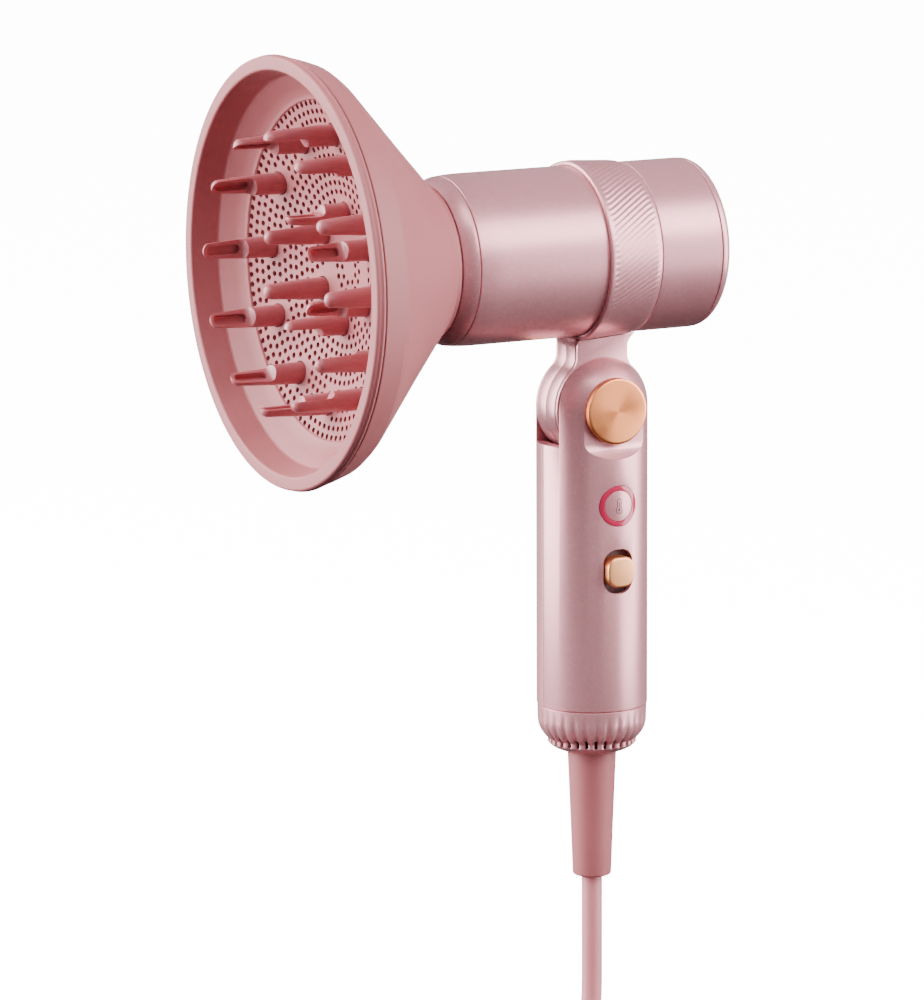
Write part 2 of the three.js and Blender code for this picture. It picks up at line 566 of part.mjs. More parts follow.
function plug() {
  const { bearing, distance, direction, length, width, height, behind } = PLUG;
  const seat = FLOOR_Z + COIL.height + GAP;
  const [towards, facing] = [bearing, direction].map(THREE.MathUtils.degToRad);
  const body = new THREE.Group();
  body.position.set(
    coilCentre.x + distance * Math.cos(towards) + behind * Math.cos(facing),
    coilCentre.y + distance * Math.sin(towards) + behind * Math.sin(facing),
    seat + height / 2);
  body.rotation.z = facing;
  hairDryer.add(body);
  const front = length - behind;
  const outline = new THREE.Shape();
  outline.moveTo(-behind, -5);
  outline.lineTo(-8, -9);
  outline.lineTo(front - 4, -width / 2);
  outline.lineTo(front, -width / 2);
  outline.lineTo(front, width / 2);
  outline.lineTo(front - 4, width / 2);
  outline.lineTo(-8, 9);
  outline.lineTo(-behind, 5);
  const slab = new THREE.ExtrudeGeometry(outline, { depth: height, bevelEnabled: false });
  add(body, "plug_body", toSolid(slab.translate(0, 0, -height / 2)), MATT_PINK);
  for (const [name, y] of [["plug_pin_left", 9.5], ["plug_pin_right", -9.5]]) {
    const pin = new THREE.CylinderGeometry(2.35, 2.35, 19, 12).rotateZ(Math.PI / 2);
    add(body, name, toSolid(pin.translate(front + 10, y, 0)), STEEL);
  }
}

// ---------------------------------------------------------------- assembly
handleShells();
handleScrews();
bottomCap();
strainRelief();
handleInsides();
lightRingAndButton();
powerSwitch();
hinge();
neck();
barrelShells();
outletGrille();
innerDuct();
motor();
heater();
filterCover();
diffuserAdapter();
diffuserShell();
diffuserPlate();
prongRing("outer_prongs", OUTER_PRONGS);
prongRing("inner_prongs", INNER_PRONGS);
cordLead();
cordCoil();
plug();

export default hairDryer;
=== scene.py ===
"""A folding hair dryer with a wide curl diffuser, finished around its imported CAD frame.

Lengths in the classes are millimetres; the Blender objects are in metres. +X is the way the air
leaves, +Z is up along the handle and +Y is the side that carries the buttons.
"""
import json
import logging
import math
from dataclasses import dataclass
from enum import Enum
from typing import Iterable, Sequence

import bpy
from mathutils import Matrix, Vector


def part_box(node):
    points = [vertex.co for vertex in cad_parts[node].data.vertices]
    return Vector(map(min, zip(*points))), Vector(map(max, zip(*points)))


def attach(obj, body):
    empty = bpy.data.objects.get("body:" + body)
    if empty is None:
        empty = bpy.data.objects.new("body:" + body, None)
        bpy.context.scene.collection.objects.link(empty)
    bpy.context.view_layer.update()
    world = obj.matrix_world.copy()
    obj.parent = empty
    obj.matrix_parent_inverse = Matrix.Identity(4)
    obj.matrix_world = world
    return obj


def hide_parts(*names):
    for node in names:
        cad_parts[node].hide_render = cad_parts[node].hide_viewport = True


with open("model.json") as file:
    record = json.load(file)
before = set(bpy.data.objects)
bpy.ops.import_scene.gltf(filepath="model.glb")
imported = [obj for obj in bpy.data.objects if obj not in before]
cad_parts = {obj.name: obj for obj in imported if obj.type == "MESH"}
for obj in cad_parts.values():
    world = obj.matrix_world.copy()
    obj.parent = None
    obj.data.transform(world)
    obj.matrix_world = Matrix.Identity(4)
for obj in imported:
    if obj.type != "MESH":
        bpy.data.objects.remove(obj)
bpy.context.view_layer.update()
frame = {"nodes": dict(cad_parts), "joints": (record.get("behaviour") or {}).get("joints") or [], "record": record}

LOG = logging.getLogger("hair_dryer")
MM = 0.001
GAP = 0.15                         # half of a fine seam between two mouldings

Point = tuple[float, float, float]
Outline = Sequence[tuple[float, float]]


def joint_place(name: str) -> Vector:
    """Returns a hinge joint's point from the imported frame, in millimetres."""
    joint = next(j for j in frame["joints"] if j["name"] == name)
    return Vector(joint["pos_m"]) / MM


def node_low(node: str) -> Vector:
    """Returns a CAD node's lowest corner, in millimetres."""
    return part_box(node)[0] / MM


def node_high(node: str) -> Vector:
    """Returns a CAD node's highest corner, in millimetres."""
    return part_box(node)[1] / MM


HINGE_Z = joint_place("fold").z
BARREL_Z = joint_place("fan_spin").z
SEAM_Z = node_low("handle_shell_left").z
HANDLE_R = node_high("handle_shell_left").x


# ------------------------------------------------------------------ modelling by hand
class Axis(Enum):
    """The line that a turned piece is round about."""

    ALONG_X = 0
    ALONG_Y = 1
    ALONG_Z = 2

    @property
    def direction(self) -> Vector:
        """Returns the axis as a unit vector."""
        return Vector([1.0 if k == self.value else 0.0 for k in range(3)])

    @property
    def turn(self) -> tuple[float, float, float]:
        """Returns the rotation that lays a flat circle across this axis."""
        return {0: (0, math.pi / 2, 0), 1: (-math.pi / 2, 0, 0), 2: (0, 0, 0)}[self.value]

    def scaling(self, factor: float) -> tuple[float, float, float]:
        """Returns the scale that changes only the radius."""
        return tuple(1.0 if k == self.value else factor for k in range(3))


def clear_selection() -> None:
    """Leaves edit mode and deselects every object."""
    if bpy.context.object and bpy.context.object.mode != "OBJECT":
        bpy.ops.object.mode_set(mode="OBJECT")
    bpy.ops.object.select_all(action="DESELECT")


def choose(piece: bpy.types.Object) -> bpy.types.Object:
    """Makes one object the only selected and active one, and returns it."""
    clear_selection()
    piece.select_set(True)
    bpy.context.view_layer.objects.active = piece
    return piece


def settle(piece: bpy.types.Object, name: str) -> bpy.types.Object:
    """Names a piece and moves its place into its mesh.

    Args:
        piece: The object that was just modelled.
        name: The name it keeps.

    Returns:
        The same object, at the origin, unturned and unscaled.
    """
    choose(piece)
    bpy.ops.object.transform_apply(location=True, rotation=True, scale=True)
    piece.name = name
    piece.data.name = name
    return piece


def turned(name: str, axis: Axis, outline: Outline, closed: bool = True, sides: int = 144,
           centre: Point = (0, 0, 0)) -> bpy.types.Object:
    """Turns an outline about an axis, by extruding and scaling one circle edge.

    Args:
        name: The piece's name.
        axis: The axis that the outline turns about.
        outline: Points of (radius, distance along the axis), all with some radius.
        closed: Whether the outline closes on itself; if not, both ends get flat caps.
        sides: Sides of the circle.
        centre: A point that the axis passes through, from which distances are counted.

    Returns:
        The closed mesh object.
    """
    clear_selection()
    base = Vector(centre)
    radius, along = outline[0]
    start = (base + axis.direction * along) * MM
    fill = "NOTHING" if closed else "NGON"
    bpy.ops.mesh.primitive_circle_add(vertices=sides, radius=radius * MM, fill_type=fill, location=start,
                                      rotation=axis.turn)
    piece = bpy.context.object
    bpy.ops.object.mode_set(mode="EDIT")
    bpy.ops.mesh.select_all(action="SELECT")
    steps = list(outline[1:]) + ([outline[0]] if closed else [])
    for next_radius, next_along in steps:
        shift = axis.direction * (next_along - along) * MM
        if closed:
            bpy.ops.mesh.extrude_edges_move(TRANSFORM_OT_translate={"value": shift})
        else:
            bpy.ops.mesh.extrude_region_move(TRANSFORM_OT_translate={"value": shift})
        middle = (base + axis.direction * next_along) * MM
        bpy.ops.transform.resize(value=axis.scaling(next_radius / radius), center_override=middle)
        radius, along = next_radius, next_along
    bpy.ops.mesh.select_all(action="SELECT")
    bpy.ops.mesh.remove_doubles(threshold=1e-7)
    bpy.ops.mesh.normals_make_consistent(inside=False)
    bpy.ops.object.mode_set(mode="OBJECT")
    return settle(piece, name)


def arc(centre_r: float, centre_h: float, radius: float, start: float, end: float,
        steps: int = 6) -> list[tuple[float, float]]:
    """Returns points of a round stretch of an outline, in (radius, height).

    Args:
        centre_r: The arc centre's distance from the axis.
        centre_h: The arc centre's height along the axis.
        radius: The arc's own radius.
        start: First angle in degrees, where 0 points away from the axis and 90 along it.
        end: Last angle in degrees.
        steps: Number of straight steps.
    """
    angles = [math.radians(start + (end - start) * i / steps) for i in range(steps + 1)]
    return [(centre_r + radius * math.cos(a), centre_h + radius * math.sin(a)) for a in angles]


def slab(name: str, low: Point, high: Point) -> bpy.types.Object:
    """Adds a block between two corners, in millimetres, and returns it."""
    clear_selection()
    size = Vector(high) - Vector(low)
    middle = (Vector(high) + Vector(low)) / 2
    bpy.ops.mesh.primitive_cube_add(size=1, location=middle * MM)
    piece = bpy.context.object
    piece.scale = size * MM
    return settle(piece, name)


def plate_from(name: str, outline: Sequence[tuple[float, float]], low: float, high: float,
               axis: Axis = Axis.ALONG_Y) -> bpy.types.Object:
    """Extrudes a flat outline along an axis.

    Args:
        name: The piece's name.
        outline: Corner points in the plane across the axis: (x, z) across Y, (y, z) across X and
            (x, y) across Z.
        low: Where the plate starts along the axis, in millimetres.
        high: Where it ends.
        axis: The axis of the extrusion.

    Returns:
        The closed mesh object.
    """
    place = {
        Axis.ALONG_X: lambda a, b: (low, a, b),
        Axis.ALONG_Y: lambda a, b: (a, low, b),
        Axis.ALONG_Z: lambda a, b: (a, b, low),
    }[axis]
    mesh = bpy.data.meshes.new(name)
    corners = [Vector(place(a, b)) * MM for a, b in outline]
    mesh.from_pydata(corners, [], [list(range(len(corners)))])
    piece = bpy.data.objects.new(name, mesh)
    bpy.context.collection.objects.link(piece)
    choose(piece)
    bpy.ops.object.mode_set(mode="EDIT")
    bpy.ops.mesh.select_all(action="SELECT")
    bpy.ops.mesh.extrude_region_move(TRANSFORM_OT_translate={"value": axis.direction * (high - low) * MM})
    bpy.ops.mesh.select_all(action="SELECT")
    bpy.ops.mesh.normals_make_consistent(inside=False)
    bpy.ops.object.mode_set(mode="OBJECT")
    return piece


def rounded_outline(width: float, height: float, corner: float, middle: tuple[float, float] = (0, 0),
                    steps: int = 8) -> list[tuple[float, float]]:
    """Returns a rectangle with round corners as a list of points."""
    points = []
    for turn, (sx, sz) in enumerate(((1, 1), (-1, 1), (-1, -1), (1, -1))):
        cx = middle[0] + sx * (width / 2 - corner)
        cz = middle[1] + sz * (height / 2 - corner)
        for i in range(steps + 1):
            angle = math.radians(90 * (turn + i / steps))
            points.append((cx + corner * math.cos(angle), cz + corner * math.sin(angle)))
    return points


def finish_modifier(piece: bpy.types.Object, kind: str, settings: dict[str, object]) -> bpy.types.Object:
    """Adds a modifier with its settings, applies it and returns the piece."""
    choose(piece)
    modifier = piece.modifiers.new(kind.lower(), kind)
    for key, value in settings.items():
        setattr(modifier, key, value)
    bpy.ops.object.modifier_apply(modifier=modifier.name)
    return piece


def combine(piece: bpy.types.Object, tool: bpy.types.Object, operation: str,
            solver: str = "MANIFOLD") -> bpy.types.Object:
    """Cuts, joins or intersects a piece with a tool, which is then removed.

    Args:
        piece: The piece that is changed.
        tool: The object that cuts it.
        operation: DIFFERENCE, UNION or INTERSECT.
        solver: Which boolean solver works.

    Returns:
        The changed piece.
    """
    finish_modifier(piece, "BOOLEAN", {"operation": operation, "object": tool, "solver": solver})
    bpy.data.objects.remove(tool, do_unlink=True)
    return piece


def cut(piece: bpy.types.Object, *tools: bpy.types.Object) -> bpy.types.Object:
    """Cuts each tool out of a piece and returns it."""
    for tool in tools:
        combine(piece, tool, "DIFFERENCE")
    return piece


def soften(piece: bpy.types.Object, width: float, segments: int = 3, angle: float = 30,
           clamp: bool = True) -> bpy.types.Object:
    """Rounds every edge that is sharper than an angle.

    Args:
        piece: The piece to bevel.
        width: Bevel width in millimetres.
        segments: Number of strips in the bevel.
        angle: Sharpness in degrees from which an edge is rounded.
        clamp: Whether the bevel stops where edges meet.

    Returns:
        The bevelled piece.
    """
    return finish_modifier(piece, "BEVEL", {
        "width": width * MM, "segments": segments, "limit_method": "ANGLE",
        "angle_limit": math.radians(angle), "use_clamp_overlap": clamp, "harden_normals": False,
    })


def smooth(piece: bpy.types.Object, angle: float = 32) -> bpy.types.Object:
    """Shades a piece smooth up to an angle in degrees and returns it."""
    choose(piece)
    bpy.ops.object.shade_smooth_by_angle(angle=math.radians(angle))
    return piece


def joined(name: str, parts: Sequence[bpy.types.Object]) -> bpy.types.Object:
    """Joins meshes into one object with a name and returns it."""
    choose(parts[0])
    for part in parts[1:]:
        part.select_set(True)
    bpy.ops.object.join()
    piece = bpy.context.object
    piece.name = name
    piece.data.name = name
    return piece


def repeated(name: str, pattern: bpy.types.Object, places: Iterable[Matrix]) -> bpy.types.Object:
    """Copies a small mesh to many places as one mesh, and removes the pattern.

    Args:
        name: The new object's name.
        pattern: The mesh that is repeated.
        places: One matrix for each copy, in metres.

    Returns:
        The object that holds all the copies.
    """
    corners = [v.co.copy() for v in pattern.data.vertices]
    faces = [list(p.vertices) for p in pattern.data.polygons]
    all_corners: list[Vector] = []
    all_faces: list[list[int]] = []
    for place in places:
        first = len(all_corners)
        all_corners += [place @ corner for corner in corners]
        all_faces += [[first + k for k in face] for face in faces]
    mesh = bpy.data.meshes.new(name)
    mesh.from_pydata(all_corners, [], all_faces)
    piece = bpy.data.objects.new(name, mesh)
    bpy.context.collection.objects.link(piece)
    bpy.data.objects.remove(pattern, do_unlink=True)
    return piece


def about(axis: Axis, centre: Point, degrees: float) -> Matrix:
    """Returns a turn about an axis through a point given in millimetres."""
    move = Matrix.Translation(Vector(centre) * MM)
    return move @ Matrix.Rotation(math.radians(degrees), 4, axis.direction) @ move.inverted()


def place_piece(piece: bpy.types.Object, body: str, slot: str, material: bpy.types.Material,
                *nodes: str) -> bpy.types.Object:
    """Dresses a finished piece and ties it to the frame.

    Args:
        piece: The finished piece.
        body: The CAD body that it rides on.
        slot: The record's material slot; not used.
        material: Its material.
        nodes: The CAD nodes that it stands for.

    Returns:
        The piece.
    """
    piece.data.materials.clear()
    piece.data.materials.append(material)
    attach(piece, body)
    if nodes:
        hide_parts(*nodes)
    LOG.info("%s rides on %s with %d faces", piece.name, body, len(piece.data.polygons))
    return piece


# ------------------------------------------------------------------ finishes
def linear(hex_colour: str) -> tuple[float, float, float, float]:
    """Returns an sRGB hex colour as linear red, green, blue and alpha."""
    channels = [int(hex_colour[i:i + 2], 16) / 255 for i in (1, 3, 5)]
    values = [c / 12.92 if c <= 0.04045 else ((c + 0.055) / 1.055) ** 2.4 for c in channels]
    return (values[0], values[1], values[2], 1.0)


def add_node(tree: bpy.types.NodeTree, kind: str, settings: dict[str, object] | None = None,
             inputs: dict[str | int, object] | None = None) -> bpy.types.Node:
    """Adds a node with its settings and links.

    Args:
        tree: The node tree.
        kind: The node's type name.
        settings: Its own properties.
        inputs: Values or output sockets, by input name or number.

    Returns:
        The new node.
    """
    node = tree.nodes.new(kind)
    for key, value in (settings or {}).items():
        setattr(node, key, value)
    for key, value in (inputs or {}).items():
        if isinstance(value, bpy.types.NodeSocket):
            tree.links.new(value, node.inputs[key])
        else:
            node.inputs[key].default_value = value
    return node


@dataclass(frozen=True)
class Finish:
    """What every surface has: two near shades, a gloss range and a fine relief."""

    name: str
    light: str
    dark: str
    roughness: float
    roughness_spread: float = 0.05
    metallic: float = 0.0
    coat: float = 0.0
    coat_roughness: float = 0.2
    sheen: float = 0.0
    grain_mm: float = 0.5
    cloud_mm: float = 12.0
    relief_mm: float = 0.01
    subsurface: float = 0.0
    ior: float = 1.5

    def shader(self, material: bpy.types.Material) -> bpy.types.Node:
        """Sets the constants on a new Principled node and returns it."""
        tree = material.node_tree
        tree.nodes.clear()
        shader = add_node(tree, "ShaderNodeBsdfPrincipled", inputs={
            "Metallic": self.metallic, "IOR": self.ior, "Coat Weight": self.coat,
            "Coat Roughness": self.coat_roughness, "Sheen Weight": self.sheen,
        })
        if self.subsurface:
            shader.inputs["Subsurface Weight"].default_value = self.subsurface
            shader.inputs["Subsurface Radius"].default_value = (0.003, 0.0012, 0.0012)
            shader.inputs["Subsurface Scale"].default_value = 0.6
        add_node(tree, "ShaderNodeOutputMaterial", inputs={"Surface": shader.outputs[0]})
        return shader

    def build(self) -> bpy.types.Material:
        """Makes the material: clouds of two shades, fine grain in gloss and relief."""
        material = bpy.data.materials.new(self.name)
        material.use_nodes = True
        shader = self.shader(material)
        tree = material.node_tree
        place = add_node(tree, "ShaderNodeTexCoord").outputs["Object"]
        clouds = add_node(tree, "ShaderNodeTexNoise", inputs={
            "Vector": place, "Scale": 1 / (self.cloud_mm * MM), "Detail": 3.0})
        shade = add_node(tree, "ShaderNodeMix", {"data_type": "RGBA"}, {
            "Factor": clouds.outputs[0], "A": linear(self.dark), "B": linear(self.light)})
        tree.links.new(shade.outputs["Result"], shader.inputs["Base Color"])
        grain = add_node(tree, "ShaderNodeTexNoise", inputs={
            "Vector": place, "Scale": 1 / (self.grain_mm * MM), "Detail": 2.0})
        gloss = add_node(tree, "ShaderNodeMapRange", inputs={
            "Value": grain.outputs[0], "To Min": self.roughness - self.roughness_spread,
            "To Max": self.roughness + self.roughness_spread})
        tree.links.new(gloss.outputs[0], shader.inputs["Roughness"])
        relief = add_node(tree, "ShaderNodeBump", inputs={
            "Height": grain.outputs[0], "Distance": self.relief_mm * MM, "Strength": 0.6})
        tree.links.new(relief.outputs[0], shader.inputs["Normal"])
        return material


@dataclass(frozen=True)
class PearlLacquer(Finish):
    """Sprayed pearl lacquer on a moulded shell: mica flakes glint singly under a satin clear coat."""

    flake_mm: float = 0.35
    flake_lift: str = "#f3d9dc"

    def build(self) -> bpy.types.Material:
        """Makes the material, with flakes drawn a little coarser than real ones so that they show."""
        material = super().build()
        tree = material.node_tree
        shader = next(n for n in tree.nodes if n.type == "BSDF_PRINCIPLED")
        shade = shader.inputs["Base Color"].links[0].from_socket
        place = next(n for n in tree.nodes if n.type == "TEX_COORD").outputs["Object"]
        flakes = add_node(tree, "ShaderNodeTexVoronoi", inputs={
            "Vector": place, "Scale": 1 / (self.flake_mm * MM)})
        chosen = add_node(tree, "ShaderNodeMapRange", inputs={
            "Value": flakes.outputs["Color"], "From Min": 0.72, "From Max": 1.0, "To Max": 0.30})
        lifted = add_node(tree, "ShaderNodeMix", {"data_type": "RGBA"}, {
            "Factor": chosen.outputs[0], "A": shade, "B": linear(self.flake_lift)})
        tree.links.new(lifted.outputs["Result"], shader.inputs["Base Color"])
        return material


@dataclass(frozen=True)
class SpunMetal(Finish):
    """Plated brass faced off on a lathe: fine circles about the hinge spread light into a bow tie."""

    centre: Point = (0, 0, 0)
    groove_mm: float = 0.22

    def build(self) -> bpy.types.Material:
        """Makes the material, with rings about the Y axis through the centre."""
        material = super().build()
        tree = material.node_tree
        shader = next(n for n in tree.nodes if n.type == "BSDF_PRINCIPLED")
        place = next(n for n in tree.nodes if n.type == "TEX_COORD").outputs["Object"]
        centred = add_node(tree, "ShaderNodeMapping", inputs={
            "Vector": place, "Location": -Vector(self.centre) * MM})
        flat = add_node(tree, "ShaderNodeVectorMath", {"operation": "MULTIPLY"}, {
            0: centred.outputs[0], 1: (1.0, 0.0, 1.0)})
        radius = add_node(tree, "ShaderNodeVectorMath", {"operation": "LENGTH"}, {0: flat.outputs[0]})
        rings = add_node(tree, "ShaderNodeTexNoise", {"noise_dimensions": "1D"}, {
            "W": radius.outputs["Value"], "Scale": 1 / (self.groove_mm * MM), "Detail": 3.0})
        gloss = add_node(tree, "ShaderNodeMapRange", inputs={
            "Value": rings.outputs[0], "To Min": self.roughness - 0.08, "To Max": self.roughness + 0.12})
        tree.links.new(gloss.outputs[0], shader.inputs["Roughness"])
        relief = next(n for n in tree.nodes if n.type == "BUMP")
        tree.links.new(rings.outputs[0], relief.inputs["Height"])
        across = add_node(tree, "ShaderNodeVectorMath", {"operation": "CROSS_PRODUCT"}, {
            0: flat.outputs[0], 1: (0.0, 1.0, 0.0)})
        along = add_node(tree, "ShaderNodeVectorMath", {"operation": "NORMALIZE"}, {0: across.outputs[0]})
        shader.inputs["Anisotropic"].default_value = 0.85
        tree.links.new(along.outputs[0], shader.inputs["Tangent"])
        return material


class Palette:
    """The materials that the pieces share, each made once."""

    def __init__(self) -> None:
        """Makes every finish that the dryer wears."""
        # Pearl lacquer on ABS: a satin metallic pink that pales where light grazes it.
        self.lacquer = PearlLacquer(
            "pearl_pink_lacquer_on_abs", "#df99a1", "#d58f97", 0.34, 0.03, metallic=0.55, coat=0.35,
            coat_roughness=0.28, grain_mm=0.45, cloud_mm=25, relief_mm=0.004).build()
        # Spark-eroded mould texture on polypropylene: an even matt pink with a soft edge glow.
        self.matt = Finish(
            "spark_textured_pink_polypropylene", "#a65c60", "#9c5357", 0.58, 0.05, sheen=0.02,
            grain_mm=0.4, cloud_mm=30, relief_mm=0.012).build()
        # Tinted heat-proof nylon prongs: deeper rose, half gloss, a little light passes through.
        self.prong = Finish(
            "tinted_rose_nylon", "#b2646a", "#a3555b", 0.36, 0.05, coat=0.15, grain_mm=0.7,
            cloud_mm=9, relief_mm=0.006, subsurface=0.25).build()
        # Rose-gold plating on turned brass, faced on a lathe about the hinge.
        centre = (0, 0, HINGE_Z)
        self.spun_gold = SpunMetal(
            "rose_gold_plated_turned_brass", "#ef9762", "#e28a56", 0.34, metallic=1.0, grain_mm=0.3,
            cloud_mm=8, relief_mm=0.006, centre=centre).build()
        # The same plating, bead-blasted satin, on the small switch knob.
        self.satin_gold = Finish(
            "satin_rose_gold_plating", "#ffb782", "#f9ab77", 0.42, 0.05, metallic=1.0, grain_mm=0.2,
            cloud_mm=6, relief_mm=0.004).build()
        # Cast acrylic light guide, tinted crimson: glossy, glows faintly from inside.
        self.crimson = Finish(
            "crimson_tinted_acrylic", "#c9204f", "#a81740", 0.18, 0.03, coat=0.5, coat_roughness=0.08,
            grain_mm=1.0, cloud_mm=5, relief_mm=0.002, subsurface=0.3, ior=1.49).build()
        # Pad-printed ink on the key: thin, matt and grey-brown.
        self.ink = Finish("pad_printed_grey_ink", "#5f4649", "#523b3e", 0.6, grain_mm=0.3).build()
        # Glass-filled nylon for ducts and carriers: nearly black, dry and slightly mottled.
        self.dark = Finish("glass_filled_dark_nylon", "#6b4744", "#5a3a38", 0.55, 0.08, grain_mm=0.5,
                           cloud_mm=6, relief_mm=0.02).build()
        # Soft vinyl cord sheath and plug: satin, with a slightly waxy bloom.
        self.vinyl = Finish("flexible_pink_vinyl", "#cc8085", "#c2777c", 0.45, 0.05, sheen=0.1,
                            grain_mm=0.8, cloud_mm=20, relief_mm=0.01).build()
        # Moulded rubber washers and motor sleeve: black, dusty.
        self.rubber = Finish("moulded_black_rubber", "#262425", "#1a1919", 0.75, grain_mm=0.6,
                             relief_mm=0.02).build()
        # Ground stainless steel: bright, lightly streaked by the wheel.
        self.steel = Finish("ground_stainless_steel", "#b9babd", "#a3a4a8", 0.3, 0.08, metallic=1.0,
                            grain_mm=0.25, cloud_mm=5, relief_mm=0.005).build()
        # Die-cast aluminium: paler and softer than steel, with cast pores.
        self.aluminium = Finish("die_cast_aluminium", "#c6c7ca", "#b3b4b8", 0.42, 0.08, metallic=1.0,
                                grain_mm=0.6, cloud_mm=7, relief_mm=0.02).build()
        # Enamelled copper wire: warm brown metal with a lacquer coat.
        self.copper = Finish("enamelled_copper_wire", "#b5683c", "#94502b", 0.32, 0.06, metallic=0.9,
                             coat=0.4, grain_mm=0.4, cloud_mm=4, relief_mm=0.02).build()
        # Pressed mica sheet: dull buff with pearly scales.
        self.mica = Finish("pressed_mica_sheet", "#d3c7a6", "#b9aa84", 0.6, 0.12, sheen=0.1,
                           grain_mm=1.2, cloud_mm=5, relief_mm=0.03).build()
        # Solder-masked glass-epoxy board: green with a thin gloss coat.
        self.board = Finish("solder_masked_board", "#2f6b49", "#265a3c", 0.4, 0.05, coat=0.4,
                            grain_mm=0.5, cloud_mm=6, relief_mm=0.01).build()
        # Nickel-plated brass pins: bright and mirror-like, with drawn streaks.
        self.nickel = Finish("nickel_plated_brass", "#d2d0cc", "#bfbdb9", 0.16, 0.05, metallic=1.0,
                             grain_mm=0.3, cloud_mm=4, relief_mm=0.003).build()

    def by_slot(self) -> dict[str, bpy.types.Material]:
        """Returns the material for each of the record's slots, for the carried-over nodes."""
        return {
            "satin_pink": self.lacquer, "matt_pink": self.matt, "rose_prongs": self.prong,
            "rose_gold": self.satin_gold, "crimson_plastic": self.crimson, "dark_plastic": self.dark,
            "rubber": self.rubber, "steel": self.steel, "aluminium": self.aluminium,
            "copper": self.copper, "mica": self.mica, "circuit_board": self.board,
            "cord_pink": self.vinyl, "plug_pins": self.nickel,
        }


# ------------------------------------------------------------------ studio
@dataclass
class Studio:
    """The camera, the pale floor and the soft lights."""

    azimuth: float = 152.05
    elevation: float = 10.6
    roll: float = -0.25
    distance: float = 2000.0
    lens: float = 206.5
    hinge_right: float = 45.26
    hinge_up: float = 33.47
    floor_size: float = 40.0
    dim_below: float = 0.02               # how bright the studio air is below the horizon
    dim_above: float = 0.40

    def axes(self) -> tuple[Vector, Vector, Vector]:
        """Returns the camera's right, up and backward directions."""
        a, e = math.radians(self.azimuth), math.radians(self.elevation)
        back = Vector((math.sin(a) * math.cos(e), -math.cos(a) * math.cos(e), math.sin(e)))
        right = Vector((math.cos(a), math.sin(a), 0))
        up = back.cross(right)
        tilt = math.radians(self.roll)
        return (right * math.cos(tilt) + up * math.sin(tilt),
                up * math.cos(tilt) - right * math.sin(tilt), back)

    def camera(self) -> None:
        """Puts the camera where the hinge lies off the picture's middle by the two offsets."""
        right, up, back = self.axes()
        hinge = Vector((0, 0, HINGE_Z))
        place = hinge + back * self.distance - right * self.hinge_right - up * self.hinge_up
        data = bpy.data.cameras.new("view")
        data.lens = self.lens
        data.clip_end = 100.0
        camera = bpy.data.objects.new("view", data)
        turn = Matrix((right, up, back)).transposed().to_4x4()
        camera.matrix_world = Matrix.Translation(place * MM) @ turn
        bpy.context.collection.objects.link(camera)
        bpy.context.scene.camera = camera

    def light(self, name: str, azimuth: float, height: float, away: float, size: tuple[float, float],
              power: float) -> None:
        """Adds one softbox that looks at the object.

        Args:
            name: The lamp's name.
            azimuth: Degrees round from the camera's side of the object, to the right as the camera sees it.
            height: Metres above the hinge.
            away: Metres from the object.
            size: Width and height in metres.
            power: Watts.
        """
        right, _, back = self.axes()
        turn = math.radians(azimuth)
        level_back = Vector((back.x, back.y, 0)).normalized()
        target = Vector((30, 0, HINGE_Z)) * MM
        outwards = right * math.sin(turn) + level_back * math.cos(turn)
        place = target + outwards * away + Vector((0, 0, height))
        data = bpy.data.lights.new(name, "AREA")
        data.shape = "RECTANGLE"
        data.size, data.size_y = size
        data.energy = power
        lamp = bpy.data.objects.new(name, data)
        lamp.location = place
        lamp.rotation_euler = (place - target).to_track_quat("Z", "Y").to_euler()
        bpy.context.collection.objects.link(lamp)

    def floor(self) -> None:
        """Lays the pale floor under the coil of cord."""
        clear_selection()
        level = node_low("cord_coil").z * MM - 0.0002
        bpy.ops.mesh.primitive_plane_add(size=self.floor_size, location=(0, 0, level))
        plane = bpy.context.object
        plane.name = "studio_floor"
        material = bpy.data.materials.new("studio_paper")
        material.use_nodes = True
        shader = next(n for n in material.node_tree.nodes if n.type == "BSDF_PRINCIPLED")
        shader.inputs["Base Color"].default_value = linear("#f4f2f1")
        shader.inputs["Roughness"].default_value = 0.9
        shader.inputs["Emission Color"].default_value = (1.0, 1.0, 1.0, 1.0)
        shader.inputs["Emission Strength"].default_value = 14.0
        plane.data.materials.append(material)
        plane.visible_diffuse = False
        plane.visible_glossy = False

    def build(self) -> None:
        """Sets up the whole studio."""
        self.camera()
        self.floor()
        self.light("softbox_left", -92, 0.4, 1.3, (1.6, 1.6), 106)
        self.light("softbox_right", 84, 0.2, 1.3, (0.9, 1.4), 36)
        self.light("softbox_high", 52, 0.9, 1.2, (1.3, 0.8), 23)
        self.light("softbox_top", 0, 1.5, 0.7, (0.9, 0.7), 10)
        world = bpy.data.worlds.new("studio_air")
        world.use_nodes = True
        tree = world.node_tree
        sky = next(n for n in tree.nodes if n.type == "BACKGROUND")
        place = add_node(tree, "ShaderNodeTexCoord")
        split = add_node(tree, "ShaderNodeSeparateXYZ", inputs={0: place.outputs["Generated"]})
        rise = add_node(tree, "ShaderNodeMapRange", inputs={
            "Value": split.outputs["Z"], "From Min": -0.8, "From Max": 0.1,
            "To Min": self.dim_below, "To Max": self.dim_above})
        tree.links.new(rise.outputs[0], sky.inputs["Strength"])
        sky.inputs["Color"].default_value = (0.95, 0.92, 0.93, 1.0)
        bpy.context.scene.world = world


# ------------------------------------------------------------------ cord and plug
def eased(share: float) -> float:
    """Returns a smooth step from 0 to 1 as a share runs from 0 to 1."""
    share = min(1.0, max(0.0, share))
    return share * share * (3 - 2 * share)


